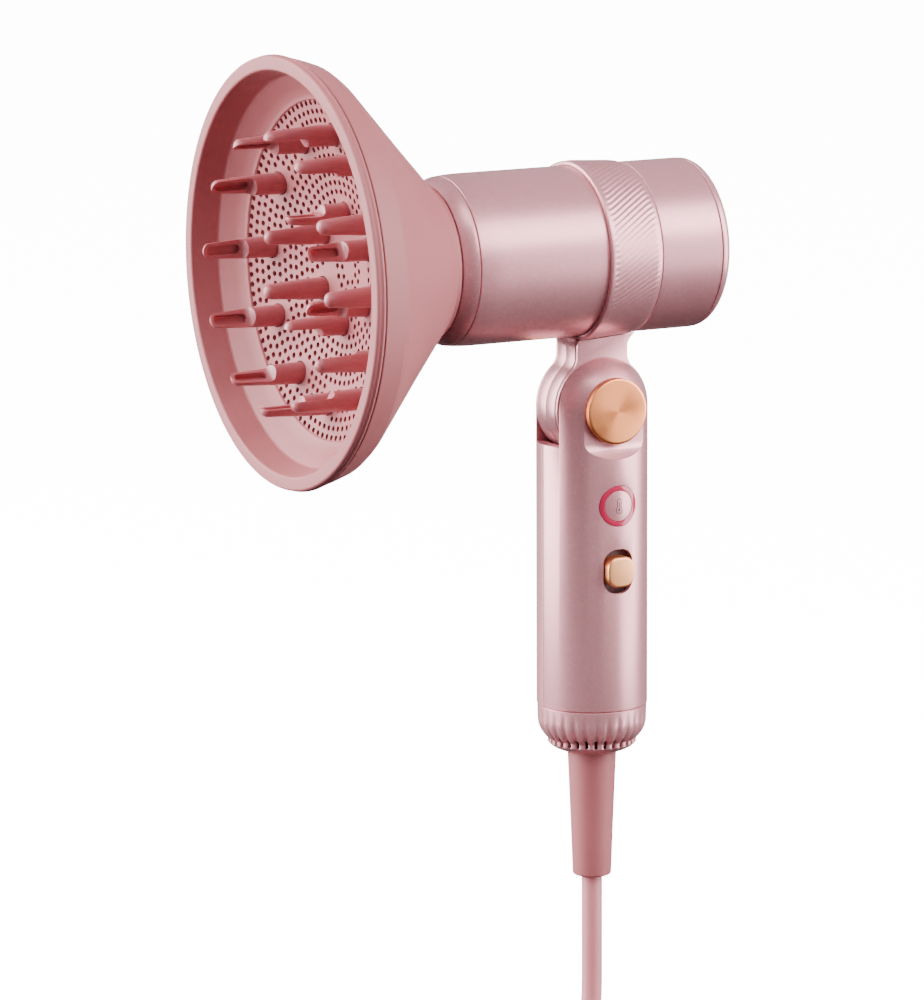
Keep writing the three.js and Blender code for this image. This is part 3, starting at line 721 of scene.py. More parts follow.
def polar(radius: float, degrees: float) -> Vector:
    """Returns the level vector of a length and a bearing from +X."""
    turn = math.radians(degrees)
    return Vector((radius * math.cos(turn), radius * math.sin(turn), 0))


@dataclass
class Plug:
    """The two-pin plug, whose origin lies a little behind its pins, and which faces along a bearing."""

    behind: float = 24.0
    front: float = 16.0
    width: float = 35.0
    height: float = 16.0
    pin_radius: float = 2.35
    pin_length: float = 19.0
    pin_spacing: float = 19.0

    def half_width(self, x: float) -> float:
        """Returns how far the body reaches sideways at a place along it."""
        return 5.0 + (self.width / 2 - 5.2) * eased((x + self.behind - 3) / 33)

    def body(self, material: bpy.types.Material) -> bpy.types.Object:
        """Models the moulded body: a waisted slab with round edges and finger grooves."""
        stations = [-self.behind + (self.front + self.behind) * i / 24 for i in range(25)]
        outline = [(x, -self.half_width(x)) for x in stations] + [(x, self.half_width(x))
                                                                 for x in reversed(stations)]
        body = plate_from("plug_moulding", outline, -self.height / 2, self.height / 2, Axis.ALONG_Z)
        soften(body, 2.6, 5, 40)
        groove = slab("groove", (-0.55, -15, self.height / 2 - 0.55), (0.55, 15, self.height / 2 + 1))
        soften(groove, 0.25, 2)
        tops = [Matrix.Translation(Vector((-9 + 3 * i, 0, 0)) * MM) for i in range(5)]
        flip = Matrix.Rotation(math.pi, 4, "X")
        cut(body, repeated("grooves", groove, tops + [flip @ place for place in tops]))
        smooth(body, 34)
        body.data.materials.append(material)
        return body

    def pin(self, side: int) -> bpy.types.Object:
        """Models one round pin with its sleeve and rounded tip."""
        r, end = self.pin_radius, self.front + self.pin_length
        outline = [(r - 0.15, self.front - 1.5), (r - 0.15, self.front + 9.8), (r, self.front + 10),
                   (r, end - 1.6)] + arc(r - 1.5, end - 1.5, 1.5, 10, 80, 5)
        pin = turned("plug_pin", Axis.ALONG_X, outline, closed=False, sides=32,
                     centre=(0, side * self.pin_spacing / 2, 0))
        return smooth(pin, 30)

    def build(self, origin: Vector, facing: float, palette: Palette) -> list[bpy.types.Object]:
        """Builds the plug and sets it down.

        Args:
            origin: Where its origin goes, in millimetres.
            facing: The bearing that its pins point along, in degrees.
            palette: The shared materials.

        Returns:
            The body and both pins.
        """
        place = Matrix.Translation(origin * MM) @ Matrix.Rotation(math.radians(facing), 4, "Z")
        pieces = []
        body = self.body(palette.vinyl)
        body.data.transform(place)
        pieces.append(place_piece(body, "handle", "cord_pink", palette.vinyl, "plug_body"))
        for side, name in ((1, "plug_pin_left"), (-1, "plug_pin_right")):
            pin = self.pin(side)
            pin.data.transform(place)
            pin.name = name + "_turned"
            pieces.append(place_piece(pin, "handle", "plug_pins", palette.nickel, name))
        return pieces


@dataclass
class MainsLead:
    """The cord, its neat coil on the floor, the tie and the plug."""

    radius: float = 3.65
    bend: float = 30.0
    heading: float = 8.0               # degrees from +X that the cord runs along the floor
    reach: float = 60.0                # from the handle's axis to where the coil's first turn starts
    turns: Sequence[tuple[float, float]] = ((47.0, 0.0), (39.7, 0.0), (32.4, 0.0), (36.05, 6.4),
                                            (43.35, 6.4), (39.7, 12.8))
    steps: int = 32
    length: float = 1.5
    coil_height: float = 20.2
    plug_bearing: float = 90.0         # bearing from the coil's middle of the plug's cord end
    plug_distance: float = 40.0
    plug_facing: float = 195.0

    def floor_line(self) -> float:
        """Returns the height of a cord's middle where it lies on the floor."""
        return node_low("cord_coil").z + self.radius

    def exit(self) -> Vector:
        """Returns where the cord leaves the strain relief."""
        return Vector((0, 0, node_low("strain_relief").z))

    def coil_centre(self) -> Vector:
        """Returns the middle of the coil, at the height of the first turn."""
        across = polar(self.turns[0][0], self.heading + 90)
        return polar(self.reach, self.heading) + across + Vector((0, 0, self.floor_line()))

    def plug_lift(self) -> float:
        """Returns how far the plug's middle lies above the floor turns' middle."""
        return self.coil_height + 0.3 + 8.0 - self.radius

    def route(self) -> list[Vector]:
        """Returns the points that the cord follows, in millimetres."""
        along = polar(1.0, self.heading)
        low = self.floor_line()
        drop = low + self.bend
        top = self.exit().z + 0.6
        points = [Vector((0, 0, top + (drop - top) * i / 4)) for i in range(5)]
        for i in range(1, 9):
            turn = math.pi / 2 * i / 8
            points.append(along * self.bend * (1 - math.cos(turn))
                          + Vector((0, 0, drop - self.bend * math.sin(turn))))
        for i in range(1, 4):
            points.append(along * (self.bend + (self.reach - self.bend) * i / 4) + Vector((0, 0, low)))
        return points + self.coil_points() + self.tail_points()

    def coil_points(self) -> list[Vector]:
        """Returns the coil's points: level turns, each of which shifts once to the next one's place."""
        centre = self.coil_centre()
        start = self.heading - 90
        width, stagger = 0.2, 0.16
        points = []
        for i in range((len(self.turns) - 1) * self.steps):
            turn, part = divmod(i, self.steps)
            here, ahead = self.turns[turn], self.turns[turn + 1]
            shift = (part / self.steps - 0.8 + stagger * turn) / width
            rises = ahead[1] > here[1]
            sideways = eased(shift * 1.3 - 0.3) if rises else eased(shift)
            radius = here[0] + (ahead[0] - here[0]) * sideways
            lift = here[1] + (ahead[1] - here[1]) * eased(shift * 1.3)
            points.append(centre + polar(radius, start + 360 * part / self.steps) + Vector((0, 0, lift)))
        return points

    def tail_points(self) -> list[Vector]:
        """Returns the points of the tail that climbs from the top turn into the plug."""
        centre = self.coil_centre()
        start = self.heading - 90
        sweep = self.plug_bearing - start
        inward = -math.tan(math.radians(self.plug_facing - 90 - self.plug_bearing)) * self.plug_distance
        first, lift = self.turns[-1]
        points = []
        steps = 16
        for i in range(steps + 1):
            t = i / steps
            radius = first + (self.plug_distance - first) * eased(t)
            radius += inward * math.radians(sweep) * (t ** 3 - t ** 2)
            rise = Vector((0, 0, lift + (self.plug_lift() - lift) * eased(t)))
            points.append(centre + polar(radius, start + sweep * t) + rise)
        end = points[-1]
        return points + [end + polar(3, self.plug_facing), end + polar(6, self.plug_facing)]

    def cord(self, material: bpy.types.Material) -> bpy.types.Object:
        """Makes the cord as one smooth curve with a round section and returns it."""
        curve = bpy.data.curves.new("mains_cord", "CURVE")
        curve.dimensions = "3D"
        curve.bevel_depth = self.radius * MM
        curve.bevel_resolution = 5
        curve.resolution_u = 3
        curve.use_fill_caps = True
        points = self.route()
        spline = curve.splines.new("NURBS")
        spline.points.add(len(points) - 1)
        for point, place in zip(spline.points, points):
            point.co = (*(place * MM), 1.0)
        spline.order_u = 4
        spline.use_endpoint_u = True
        cord = bpy.data.objects.new("mains_cord", curve)
        bpy.context.collection.objects.link(cord)
        cord.data.materials.append(material)
        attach(cord, "handle")
        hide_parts("cord_lead", "cord_coil")
        return cord

    def tie(self, material: bpy.types.Material) -> bpy.types.Object:
        """Builds the strap that holds the coil's turns together, with its buckle."""
        low = self.floor_line() - self.radius
        inner = [(28.5, 0.5), (50.9, 0.5), (50.9, 6.5), (44.5, 20.5), (35.2, 20.5), (28.5, 6.5)]
        outer = [(27.6, 0.0), (51.8, 0.0), (51.8, 6.9), (45.0, 21.3), (34.7, 21.3), (27.6, 6.9)]
        strap = plate_from("coil_tie", [(x, low + z) for x, z in outer], -4.5, 4.5)
        hollow = plate_from("hollow", [(x, low + z) for x, z in inner], -6, 6)
        cut(strap, hollow)
        soften(strap, 0.3, 2, 50)
        buckle = slab("buckle", (51.4, -6.0, low + 1.2), (53.6, 6.0, low + 6.8))
        soften(buckle, 0.8, 3)
        tie = joined("coil_tie", [strap, buckle])
        centre = self.coil_centre()
        turn = Matrix.Rotation(math.radians(self.heading - 80), 4, "Z")
        tie.data.transform(Matrix.Translation(Vector((centre.x, centre.y, 0)) * MM) @ turn)
        smooth(tie, 34)
        return place_piece(tie, "handle", "rubber", material)

    def build(self, palette: Palette) -> None:
        cord = self.cord(palette.vinyl)
        plug = Plug()
        back = self.coil_centre() + polar(self.plug_distance, self.plug_bearing)
        origin = back + polar(plug.behind, self.plug_facing) + Vector((0, 0, self.plug_lift()))
        pieces = plug.build(origin, self.plug_facing, palette)
        pieces.append(self.tie(palette.rubber))
        start = self.route()[0] * MM


# ------------------------------------------------------------------ handle
@dataclass
class Handle:
    """The two casing halves with their fork, the vented base cap and the strain relief."""

    radius: float = HANDLE_R
    wall: float = 1.8
    solid_from: float = HINGE_Z - 17      # above this height the halves are solid
    slot_half: float = 8.3
    knuckle_clear: float = 19.8
    ledge_drop: float = 12.7
    pin_radius: float = 4.3
    cap_radius: float = 11.9
    recess_floor: float = 15.6
    recess_drop: float = 16.5             # how far the scoop runs below the hinge
    scoop_height: float = 5.9
    light_radius: float = 7.3
    button_z: float = HINGE_Z - 33
    flutes: int = 30
    flute_depth: float = 0.75
    switch_z: float = HINGE_Z - 56.2
    switch_slot: tuple[float, float, float] = (11.5, 15.8, 4.9)

    def shell(self) -> bpy.types.Object:
        """Returns the whole casing as one turned tube with a domed, solid top."""
        r, inner = self.radius, self.radius - self.wall
        outline = [(inner, SEAM_Z), (r - 0.35, SEAM_Z), (r, SEAM_Z + 0.35)]
        outline += arc(0, HINGE_Z, r, 0, 87, 24)
        outline += [(1.0, self.solid_from), (inner, self.solid_from)]
        return turned("handle_shell", Axis.ALONG_Z, outline, sides=160)

    def fork_slot(self) -> list[bpy.types.Object]:
        """Returns the tools that open the fork: a round well and its mouth."""
        half = self.slot_half
        well = turned("well", Axis.ALONG_Y, [(self.knuckle_clear, -half), (self.knuckle_clear, half)],
                      closed=False, centre=(0, 0, HINGE_Z))
        mouth = slab("mouth", (-25, -half, HINGE_Z - self.ledge_drop), (25, half, HINGE_Z + 25))
        return [mouth, well]

    def recess(self, side: int) -> bpy.types.Object:
        """Returns the tool for one cap's seat, which runs out downwards as a scooped ramp."""
        width = self.cap_radius
        top = [(width * math.cos(a), HINGE_Z + width * math.sin(a))
               for a in (math.pi * i / 24 for i in range(25))]
        scoop_z = HINGE_Z - self.recess_drop + self.scoop_height
        bottom = []
        for i in range(33):
            turn = math.pi * i / 32
            bottom.append((-width * math.cos(turn), scoop_z - self.scoop_height * math.sin(turn)))
        seat = plate_from("recess", top + bottom, self.recess_floor, 25)
        start, end = HINGE_Z - self.cap_radius + 0.9, HINGE_Z - self.recess_drop - 0.5
        floor = [(self.recess_floor, HINGE_Z + 20), (self.recess_floor, start)]
        for i in range(1, 17):
            share = i / 16
            y = self.recess_floor + (self.radius - 0.3 - self.recess_floor) * share ** 1.6
            floor.append((y, start + (end - start) * share))
        floor += [(26, end), (26, HINGE_Z + 20)]
        ramp = plate_from("ramp", floor, -20, 20, Axis.ALONG_X)
        combine(seat, ramp, "INTERSECT")
        if side < 0:
            choose(seat)
            bpy.ops.transform.rotate(value=math.pi, orient_axis="Z", center_override=(0, 0, 0))
            settle(seat, "recess")
        return seat

    def pin_hole(self) -> bpy.types.Object:
        """Returns the tool for the hinge pin's hole and the washers' pockets."""
        r = self.pin_radius
        outline = [(r, -14.8), (r, -9.8), (9.6, -9.8), (9.6, 9.8), (r, 9.8), (r, 14.8)]
        return turned("pin_hole", Axis.ALONG_Y, outline, closed=False, sides=64, centre=(0, 0, HINGE_Z))

    def control_holes(self) -> list[bpy.types.Object]:
        """Returns the tools for the light ring's hole and the switch's slot."""
        ring = turned("ring_hole", Axis.ALONG_Y, [(self.light_radius, 5), (self.light_radius, 25)],
                      closed=False, sides=64, centre=(0, 0, self.button_z))
        width, height, corner = self.switch_slot
        slot = plate_from("slot_hole", rounded_outline(width, height, corner, (0, self.switch_z), 10), 5, 25)
        return [ring, slot]

    def half(self, side: int, palette: Palette) -> None:
        """Builds one casing half, rounded at its openings."""
        name = "handle_shell_left" if side > 0 else "handle_shell_right"
        piece = cut(self.shell(), *self.fork_slot(), self.pin_hole(), self.recess(side))
        if side > 0:
            cut(piece, *self.control_holes())
        low = GAP / 2 if side > 0 else -30
        keep = slab("keep", (-30, low, SEAM_Z - 5), (30, low + 30 - GAP / 2, HINGE_Z + 30))
        combine(piece, keep, "INTERSECT")
        soften(piece, 0.3, 3, 28)
        smooth(piece)
        place_piece(piece, "handle", "satin_pink", palette.lacquer, name)
        piece.name = name + "_casing"

    def finely_stepped(self, outline: Outline) -> Outline:
        """Returns the cap's outline with extra points wherever it runs up the side."""
        points = []
        for here, ahead in zip(outline, list(outline[1:]) + [outline[0]]):
            points.append(here)
            steps = int(abs(ahead[1] - here[1]) / 0.9) if min(here[0], ahead[0]) > 15.9 else 0
            for i in range(1, steps + 1):
                share = i / (steps + 1)
                points.append(tuple(here[k] + (ahead[k] - here[k]) * share for k in (0, 1)))
        return points

    def press_flutes(self, piece: bpy.types.Object, low: float) -> None:
        """Presses a soft flute into the cap's side above each vent, fading out upwards."""
        for vertex in piece.data.vertices:
            x, y, z = vertex.co / MM
            radius = math.hypot(x, y)
            height = z - low
            if not 2.5 < height < 16 or radius < 17.3 - max(0.0, 10 - height) * 0.62:
                continue
            wave = 0.5 + 0.5 * math.cos(self.flutes * math.atan2(y, x) + math.pi)
            fade = min(1.0, (height - 2.5) / 1.5) * min(1.0, (16 - height) / 9.0)
            depth = self.flute_depth * wave ** 2 * fade
            vertex.co.x *= 1 - depth / radius
            vertex.co.y *= 1 - depth / radius

    def base_cap(self, palette: Palette) -> None:
        """Builds the fluted cap with its ring of vents."""
        r = self.radius
        low = node_low("bottom_vent_cap").z
        top = SEAM_Z - 0.25
        outline = [(17.2, top), (r - 0.5, top), (r - 0.22, top - 0.28), (r - 0.3, low + 12.5)]
        outline += arc(9.4, low + 12.5, 9.8, 0, -50, 10)[1:]
        outline += arc(9.4, low + 9.2, 8.5, -38, -86, 10)[1:] + [(9.1, low), (9.1, low + 1.7)]
        outline += [(10.6, low + 1.8), (13.0, low + 3.6), (15.7, low + 8), (17.2, low + 12.5)]
        piece = turned("base_vent_cap", Axis.ALONG_Z, self.finely_stepped(outline), sides=360)
        self.press_flutes(piece, low)
        pattern = slab("vent", (12.0, -0.62, low + 3.4), (21.0, 0.62, low + 6.6))
        soften(pattern, 0.45, 3)
        step = 360 / self.flutes
        places = [about(Axis.ALONG_Z, (0, 0, 0), step * (i + 0.5)) for i in range(self.flutes)]
        cut(piece, repeated("vents", pattern, places))
        smooth(piece, 26)
        place_piece(piece, "handle", "satin_pink", palette.lacquer, "bottom_vent_cap")

    def relief(self, palette: Palette) -> None:
        """Builds the plain tapered strain relief that the cord leaves by."""
        low, high = node_low("strain_relief").z, node_high("strain_relief").z
        hole = 3.72
        outline = [(hole, low), (5.9, low)] + arc(5.9, low + 0.95, 0.95, -80, -2, 5)
        outline += [(7.4, low + 16), (8.05, low + 32), (8.65, node_low("bottom_vent_cap").z + 0.6)]
        outline += [(8.65, high - 0.2), (hole, high - 0.2)]
        piece = smooth(turned("strain_relief_sleeve", Axis.ALONG_Z, outline, sides=96), 30)
        place_piece(piece, "handle", "matt_pink", palette.matt, "strain_relief")

    def light_ring(self, palette: Palette) -> None:
        """Builds the crimson light guide, its face rounded to the handle's own curve."""
        outline = [(5.5, 13.0), (7.15, 13.0), (7.15, 21.0), (5.5, 21.0)]
        ring = turned("crimson_light_ring", Axis.ALONG_Y, outline, sides=96, centre=(0, 0, self.button_z))
        body = turned("skin", Axis.ALONG_Z, [(self.radius + 0.14, -5), (self.radius + 0.14, 60)],
                      closed=False, sides=200)
        combine(ring, body, "INTERSECT")
        soften(ring, 0.22, 3)
        smooth(ring)
        place_piece(ring, "handle", "crimson_plastic", palette.crimson, "button_light_ring")

    def build(self, palette: Palette) -> None:
        """Builds every piece of the handle."""
        self.half(1, palette)
        self.half(-1, palette)
        self.base_cap(palette)
        self.relief(palette)
        self.light_ring(palette)


@dataclass
class HingeCaps:
    """The two spun rose-gold caps over the hinge pin's ends."""

    radius: float = 11.5
    face: float = 18.7
    seat: float = 15.9

    def build(self, palette: Palette) -> None:
        """Builds both caps: a disc with a fine chamfer and a faintly domed face."""
        for side, name in ((1, "left"), (-1, "right")):
            r = self.radius
            outline = [(r - 0.5, self.seat), (r, self.seat + 0.3), (r, self.face - 0.42)]
            outline += [(r - 0.1, self.face - 0.22), (r - 0.4, self.face - 0.05), (r - 0.9, self.face)]
            outline += [(r * 0.5, self.face + 0.02), (0.4, self.face + 0.03)]
            outline = [(radius, side * along) for radius, along in outline]
            cap = turned("spun_cap_" + name, Axis.ALONG_Y, outline, closed=False, sides=160,
                         centre=(0, 0, HINGE_Z))
            smooth(cap, 24)
            place_piece(cap, "handle", "rose_gold", palette.spun_gold, "hinge_cap_" + name)


@dataclass
class TemperatureKey:
    """The round key inside the light ring, with a printed thermometer."""

    radius: float = 5.35
    back: float = 14.6
    centre_z: float = HINGE_Z - 33

    def key(self, palette: Palette) -> None:
        """Builds the key with its face rounded to the handle's curve."""
        key = turned("temperature_key_top", Axis.ALONG_Y, [(self.radius, self.back), (self.radius, 21)],
                     closed=False, sides=96, centre=(0, 0, self.centre_z))
        skin = turned("skin", Axis.ALONG_Z, [(HANDLE_R + 0.02, -5), (HANDLE_R + 0.02, 60)],
                      closed=False, sides=200)
        combine(key, skin, "INTERSECT")
        soften(key, 0.25, 3)
        smooth(key)
        place_piece(key, "temperature_key", "satin_pink", palette.lacquer, "temperature_button")

    def thermometer(self, palette: Palette) -> None:
        """Prints the thermometer: a tube's outline that opens into a bulb, with a stem inside."""
        base = self.centre_z
        low, high = 18.6, 20.4
        bulb_z = base - 1.45
        bulb = turned("bulb", Axis.ALONG_Y, [(1.05, low), (1.3, low), (1.3, high), (1.05, high)], sides=32,
                      centre=(0, 0, bulb_z))
        cut(bulb, slab("gate", (-0.6, low - 1, bulb_z + 0.5), (0.6, high + 1, base + 1.5)))
        tube = plate_from("tube", rounded_outline(1.7, 4.2, 0.84, (0, base + 0.55), 8), low, high)
        hollow = plate_from("hollow", rounded_outline(1.2, 3.7, 0.59, (0, base + 0.55), 8), low - 1, high + 1)
        cut(tube, hollow, slab("gap", (-1.2, low - 1, base - 2.2), (1.2, high + 1, bulb_z + 0.95)))
        stem = plate_from("stem", rounded_outline(0.26, 2.4, 0.12, (0, base + 0.1), 4), low, high)
        core = turned("core", Axis.ALONG_Y, [(0.42, low), (0.42, high)], closed=False, sides=24,
                      centre=(0, 0, bulb_z))
        printed = joined("thermometer_print", [bulb, tube, combine(stem, core, "UNION")])
        under, over = HANDLE_R - 0.2, HANDLE_R + 0.06
        layer = [(under, -5), (over, -5), (over, 60), (under, 60)]
        skin = turned("skin", Axis.ALONG_Z, layer, sides=200)
        combine(printed, skin, "INTERSECT")
        place_piece(printed, "temperature_key", "satin_pink", palette.ink)

    def build(self, palette: Palette) -> None:
        """Builds the key and its print."""
        self.key(palette)
        self.thermometer(palette)


@dataclass
class PowerSlider:
    """The squarish gold knob that slides in its slot."""

    width: float = 10.4
    height: float = 10.7
    corner: float = 3.9
    back: float = 15.75
    face: float = 21.5
    centre_z: float = HINGE_Z - 56.2

    def carrier(self, palette: Palette) -> None:
        """Builds the plate behind the slot that the knob stands on."""
        outline = rounded_outline(13.6, 21.6, 2, (0, self.centre_z))
        plate = plate_from("slide_carrier", outline, 13.2, 15.7)
        foot = slab("foot", (-2, 8, self.centre_z - 3), (2, 13.4, self.centre_z + 3))
        combine(plate, foot, "UNION")
        soften(plate, 0.3, 2)
        smooth(plate)
        place_piece(plate, "power_slider", "dark_plastic", palette.dark, "switch_carrier")

    def build(self, palette: Palette) -> None:
        """Builds the carrier and the knob with its softly rounded edges."""
        self.carrier(palette)
        outline = rounded_outline(self.width, self.height, self.corner, (0, self.centre_z), 10)
        knob = plate_from("slide_knob", outline, self.back, self.face)
        soften(knob, 0.8, 5)
        smooth(knob, 40)
        place_piece(knob, "power_slider", "rose_gold", palette.satin_gold, "switch_knob")


# ------------------------------------------------------------------ neck and barrel
@dataclass
class NeckLayer:
    """One slice of a neck half: how far in it lies, where it starts and ends, and its edge radius."""

    name: str
    inset: float
    low: float
    high: float
    front_flare: float
    edge: float


@dataclass
class Neck:
    """The two halves of the knuckle and neck, each a core with a proud side cover."""

    knuckle: float = 18.3
    waist_half: float = 10.15
    fillet: float = 6.0                   # radius of the hollow between knuckle and neck
    flare: float = 2.8                    # how much wider each side gets under the collar
    flare_from: float = 20.8              # height above the hinge where the flare starts
    layers: Sequence[NeckLayer] = (
        NeckLayer("core", 0.0, 0.1, 6.1, 2.8, 0.22),
        NeckLayer("groove", 0.7, 6.0, 6.45, -0.5, 0.0),
        NeckLayer("cover", 0.2, 6.35, 7.6, -1.2, 0.35),
    )
    collar_bed: float = 31.42
    barrel_bed: float = 29.82

    def outline(self, inset: float, front_flare: float) -> list[tuple[float, float]]:
        """Returns the side outline: round knuckle, hollow fillets, straight neck and a short flare.

        Args:
            inset: How far the outline lies inside the neck's widest surface, in millimetres.
            front_flare: How far the front edge moves forward below the collar.
        """
        r = self.knuckle - inset
        half = self.waist_half - inset
        fillet = self.fillet
        fillet_z = math.sqrt((r + fillet) ** 2 - (half + fillet) ** 2)
        touch = math.atan2(fillet_z, half + fillet)
        right = []
        for i in range(11):
            turn = math.pi + touch * (1 - i / 10)
            x = half + fillet + fillet * math.cos(turn)
            right.append((x, HINGE_Z + fillet_z + fillet * math.sin(turn)))
        fillets = len(right)
        rise = [i / 8 for i in range(1, 9)]
        right += [(half + front_flare * t ** 2, HINGE_Z + self.flare_from + 4.5 * t) for t in rise]
        right.append((half + front_flare, BARREL_Z - 20))
        left = [(-x, z) for x, z in right[:fillets]]
        left += [(-half - self.flare * t ** 2, HINGE_Z + self.flare_from + 4.5 * t) for t in rise]
        left.append((-half - self.flare, BARREL_Z - 20))
        left.reverse()
        under = [math.pi - touch + (math.pi + 2 * touch) * i / 72 for i in range(1, 72)]
        around = [(r * math.cos(turn), HINGE_Z + r * math.sin(turn)) for turn in under]
        return right + left + around

    def bed(self) -> bpy.types.Object:
        """Returns the tool that hollows the neck's top for the collar."""
        lip = 9.5
        steps = [(self.barrel_bed, -40), (self.barrel_bed, -11.4), (30.5, -8), (31.05, 0),
                 (self.collar_bed, lip), (self.barrel_bed, lip), (self.barrel_bed, 40)]
        return turned("bed", Axis.ALONG_X, steps, closed=False, centre=(0, 0, BARREL_Z))

    def hole(self) -> bpy.types.Object:
        """Returns the tool for the hinge pin's hole."""
        return turned("hole", Axis.ALONG_Y, [(4.3, -12), (4.3, 12)], closed=False, sides=64,
                      centre=(0, 0, HINGE_Z))

    def build(self, palette: Palette) -> None:
        """Builds both halves: core, and a side cover past a fine groove."""
        for side, name in ((1, "left"), (-1, "right")):
            parts = []
            for layer in self.layers:
                low, high = (layer.low, layer.high) if side > 0 else (-layer.high, -layer.low)
                part = plate_from(layer.name, self.outline(layer.inset, layer.front_flare), low, high)
                cut(part, self.bed(), self.hole())
                if layer.edge:
                    soften(part, layer.edge, 3, 40)
                parts.append(smooth(part))
            half = joined("neck_half_" + name, parts)
            place_piece(half, "barrel", "satin_pink", palette.lacquer, "neck_" + name)


@dataclass
class Barrel:
    """The two tubes, the ribbed collar between them and the rounded nozzle ring."""

    radius: float = 29.7
    wall: float = 1.6
    rear_end: float = -35.35
    collar_rear: float = -11.5
    collar_front: float = 9.4
    collar_radius: float = 31.3
    front_seam: float = 58.9
    nose_from: float = 50.0               # from here forward the tube rounds off towards the outlet
    ribs: int = 96
    rib_height: float = 0.52
    rib_slope: float = 0.62               # how much a rib turns for each millimetre it runs back

    def tube(self, name: str, low: float, high: float, node: str, palette: Palette) -> None:
        """Builds one plain tube with fine rounded edges."""
        r, inner, edge = self.radius, self.radius - self.wall, 0.25
        outline = [(inner, low), (r - edge, low), (r, low + edge), (r, (low + high) / 2)]
        if high > self.nose_from:
            outline += [(r - 0.5 * t ** 2, self.nose_from + (high - edge - self.nose_from) * t)
                        for t in (i / 8 for i in range(9))]
            outline += [(r - 0.5 - edge, high), (inner, high)]
        else:
            outline += [(r, high - edge), (r - edge, high), (inner, high)]
        piece = smooth(turned(name, Axis.ALONG_X, outline, sides=192, centre=(0, 0, BARREL_Z)), 25)
        place_piece(piece, "barrel", "satin_pink", palette.lacquer, node)

    def collar_profile(self) -> list[tuple[float, float]]:
        """Returns the collar's outline, finely stepped where the ribs run."""
        r, inner = self.radius, self.radius - self.wall + 0.2
        rear, front = self.collar_rear, self.collar_front
        outline = [(r + 0.25, front), (r + 0.25, 2.7), (inner, 2.7), (inner, rear), (r - 0.15, rear),
                   (r + 0.02, rear + 0.12)]
        steps = 30
        for i in range(steps + 1):
            x = rear + 0.5 + (front - 0.75 - rear - 0.5) * i / steps
            share = (x - rear) / (front - rear)
            shoulder = 0.3 * eased((x - rear) / 2.2)
            outline.append((r + 0.1 + shoulder + (self.collar_radius - r - 0.4) * share, x))
        return outline + [(self.collar_radius - 0.12, front - 0.25), (self.collar_radius - 0.45, front)]

    def collar(self, palette: Palette) -> None:
        """Builds the collar and raises its slanting ribs, which fade out downwards."""
        piece = turned("ribbed_collar_sleeve", Axis.ALONG_X, self.collar_profile(), sides=self.ribs * 8,
                       centre=(0, 0, BARREL_Z))
        rear, front = self.collar_rear + 1.3, self.collar_front - 1.9
        for vertex in piece.data.vertices:
            x, y, z = vertex.co / MM
            z -= BARREL_Z
            radius = math.hypot(y, z)
            if radius < self.radius + 0.05 or not rear < x < front:
                continue
            turn = math.atan2(z, abs(y))
            phase = self.ribs * (turn + self.rib_slope * (x - front) / self.radius) / (2 * math.pi)
            wave = 0.5 - 0.5 * math.cos(2 * math.pi * phase)
            ends = min(1.0, (x - rear) / 2.0, (front - x) / 1.0)
            height = min(1.0, max(0.0, (z + 29) / 26))
            lift = self.rib_height * (wave - 0.5) * max(0.0, ends) * height
            vertex.co.y += y / radius * lift * MM
            vertex.co.z += z / radius * lift * MM
        smooth(piece, 60)
        place_piece(piece, "barrel", "satin_pink", palette.lacquer, "ribbed_collar")

    def nozzle(self, palette: Palette) -> None:
        """Builds the ring that rounds over from the barrel into the outlet."""
        low, front = self.front_seam + 0.15, 64.35
        outline = [(27.4, low), (self.radius - 0.8, low), (self.radius - 0.58, low + 0.22)]
        outline += [(self.radius - 0.6 - 2.3 * t ** 1.5, low + 0.25 + (front - 0.5 - low - 0.25) * t)
                    for t in (i / 10 for i in range(1, 11))]
        outline += [(self.radius - 3.2, front - 0.1), (self.radius - 3.7, front)]
        outline += [(22.7, front), (22.7, 62.45), (27.4, 62.45)]
        ring = turned("nozzle_ring_lip", Axis.ALONG_X, outline, sides=192, centre=(0, 0, BARREL_Z))
        smooth(ring, 25)
        place_piece(ring, "barrel", "satin_pink", palette.lacquer, "nozzle_ring")

    def build(self, palette: Palette) -> None:
        """Builds the barrel's outside."""
        self.tube("barrel_front_skin", 3, self.front_seam - 0.1, "barrel_tube_front", palette)
        self.tube("barrel_rear_skin", self.rear_end, self.collar_rear - 0.14, "barrel_tube_rear", palette)
        self.collar(palette)
        self.nozzle(palette)


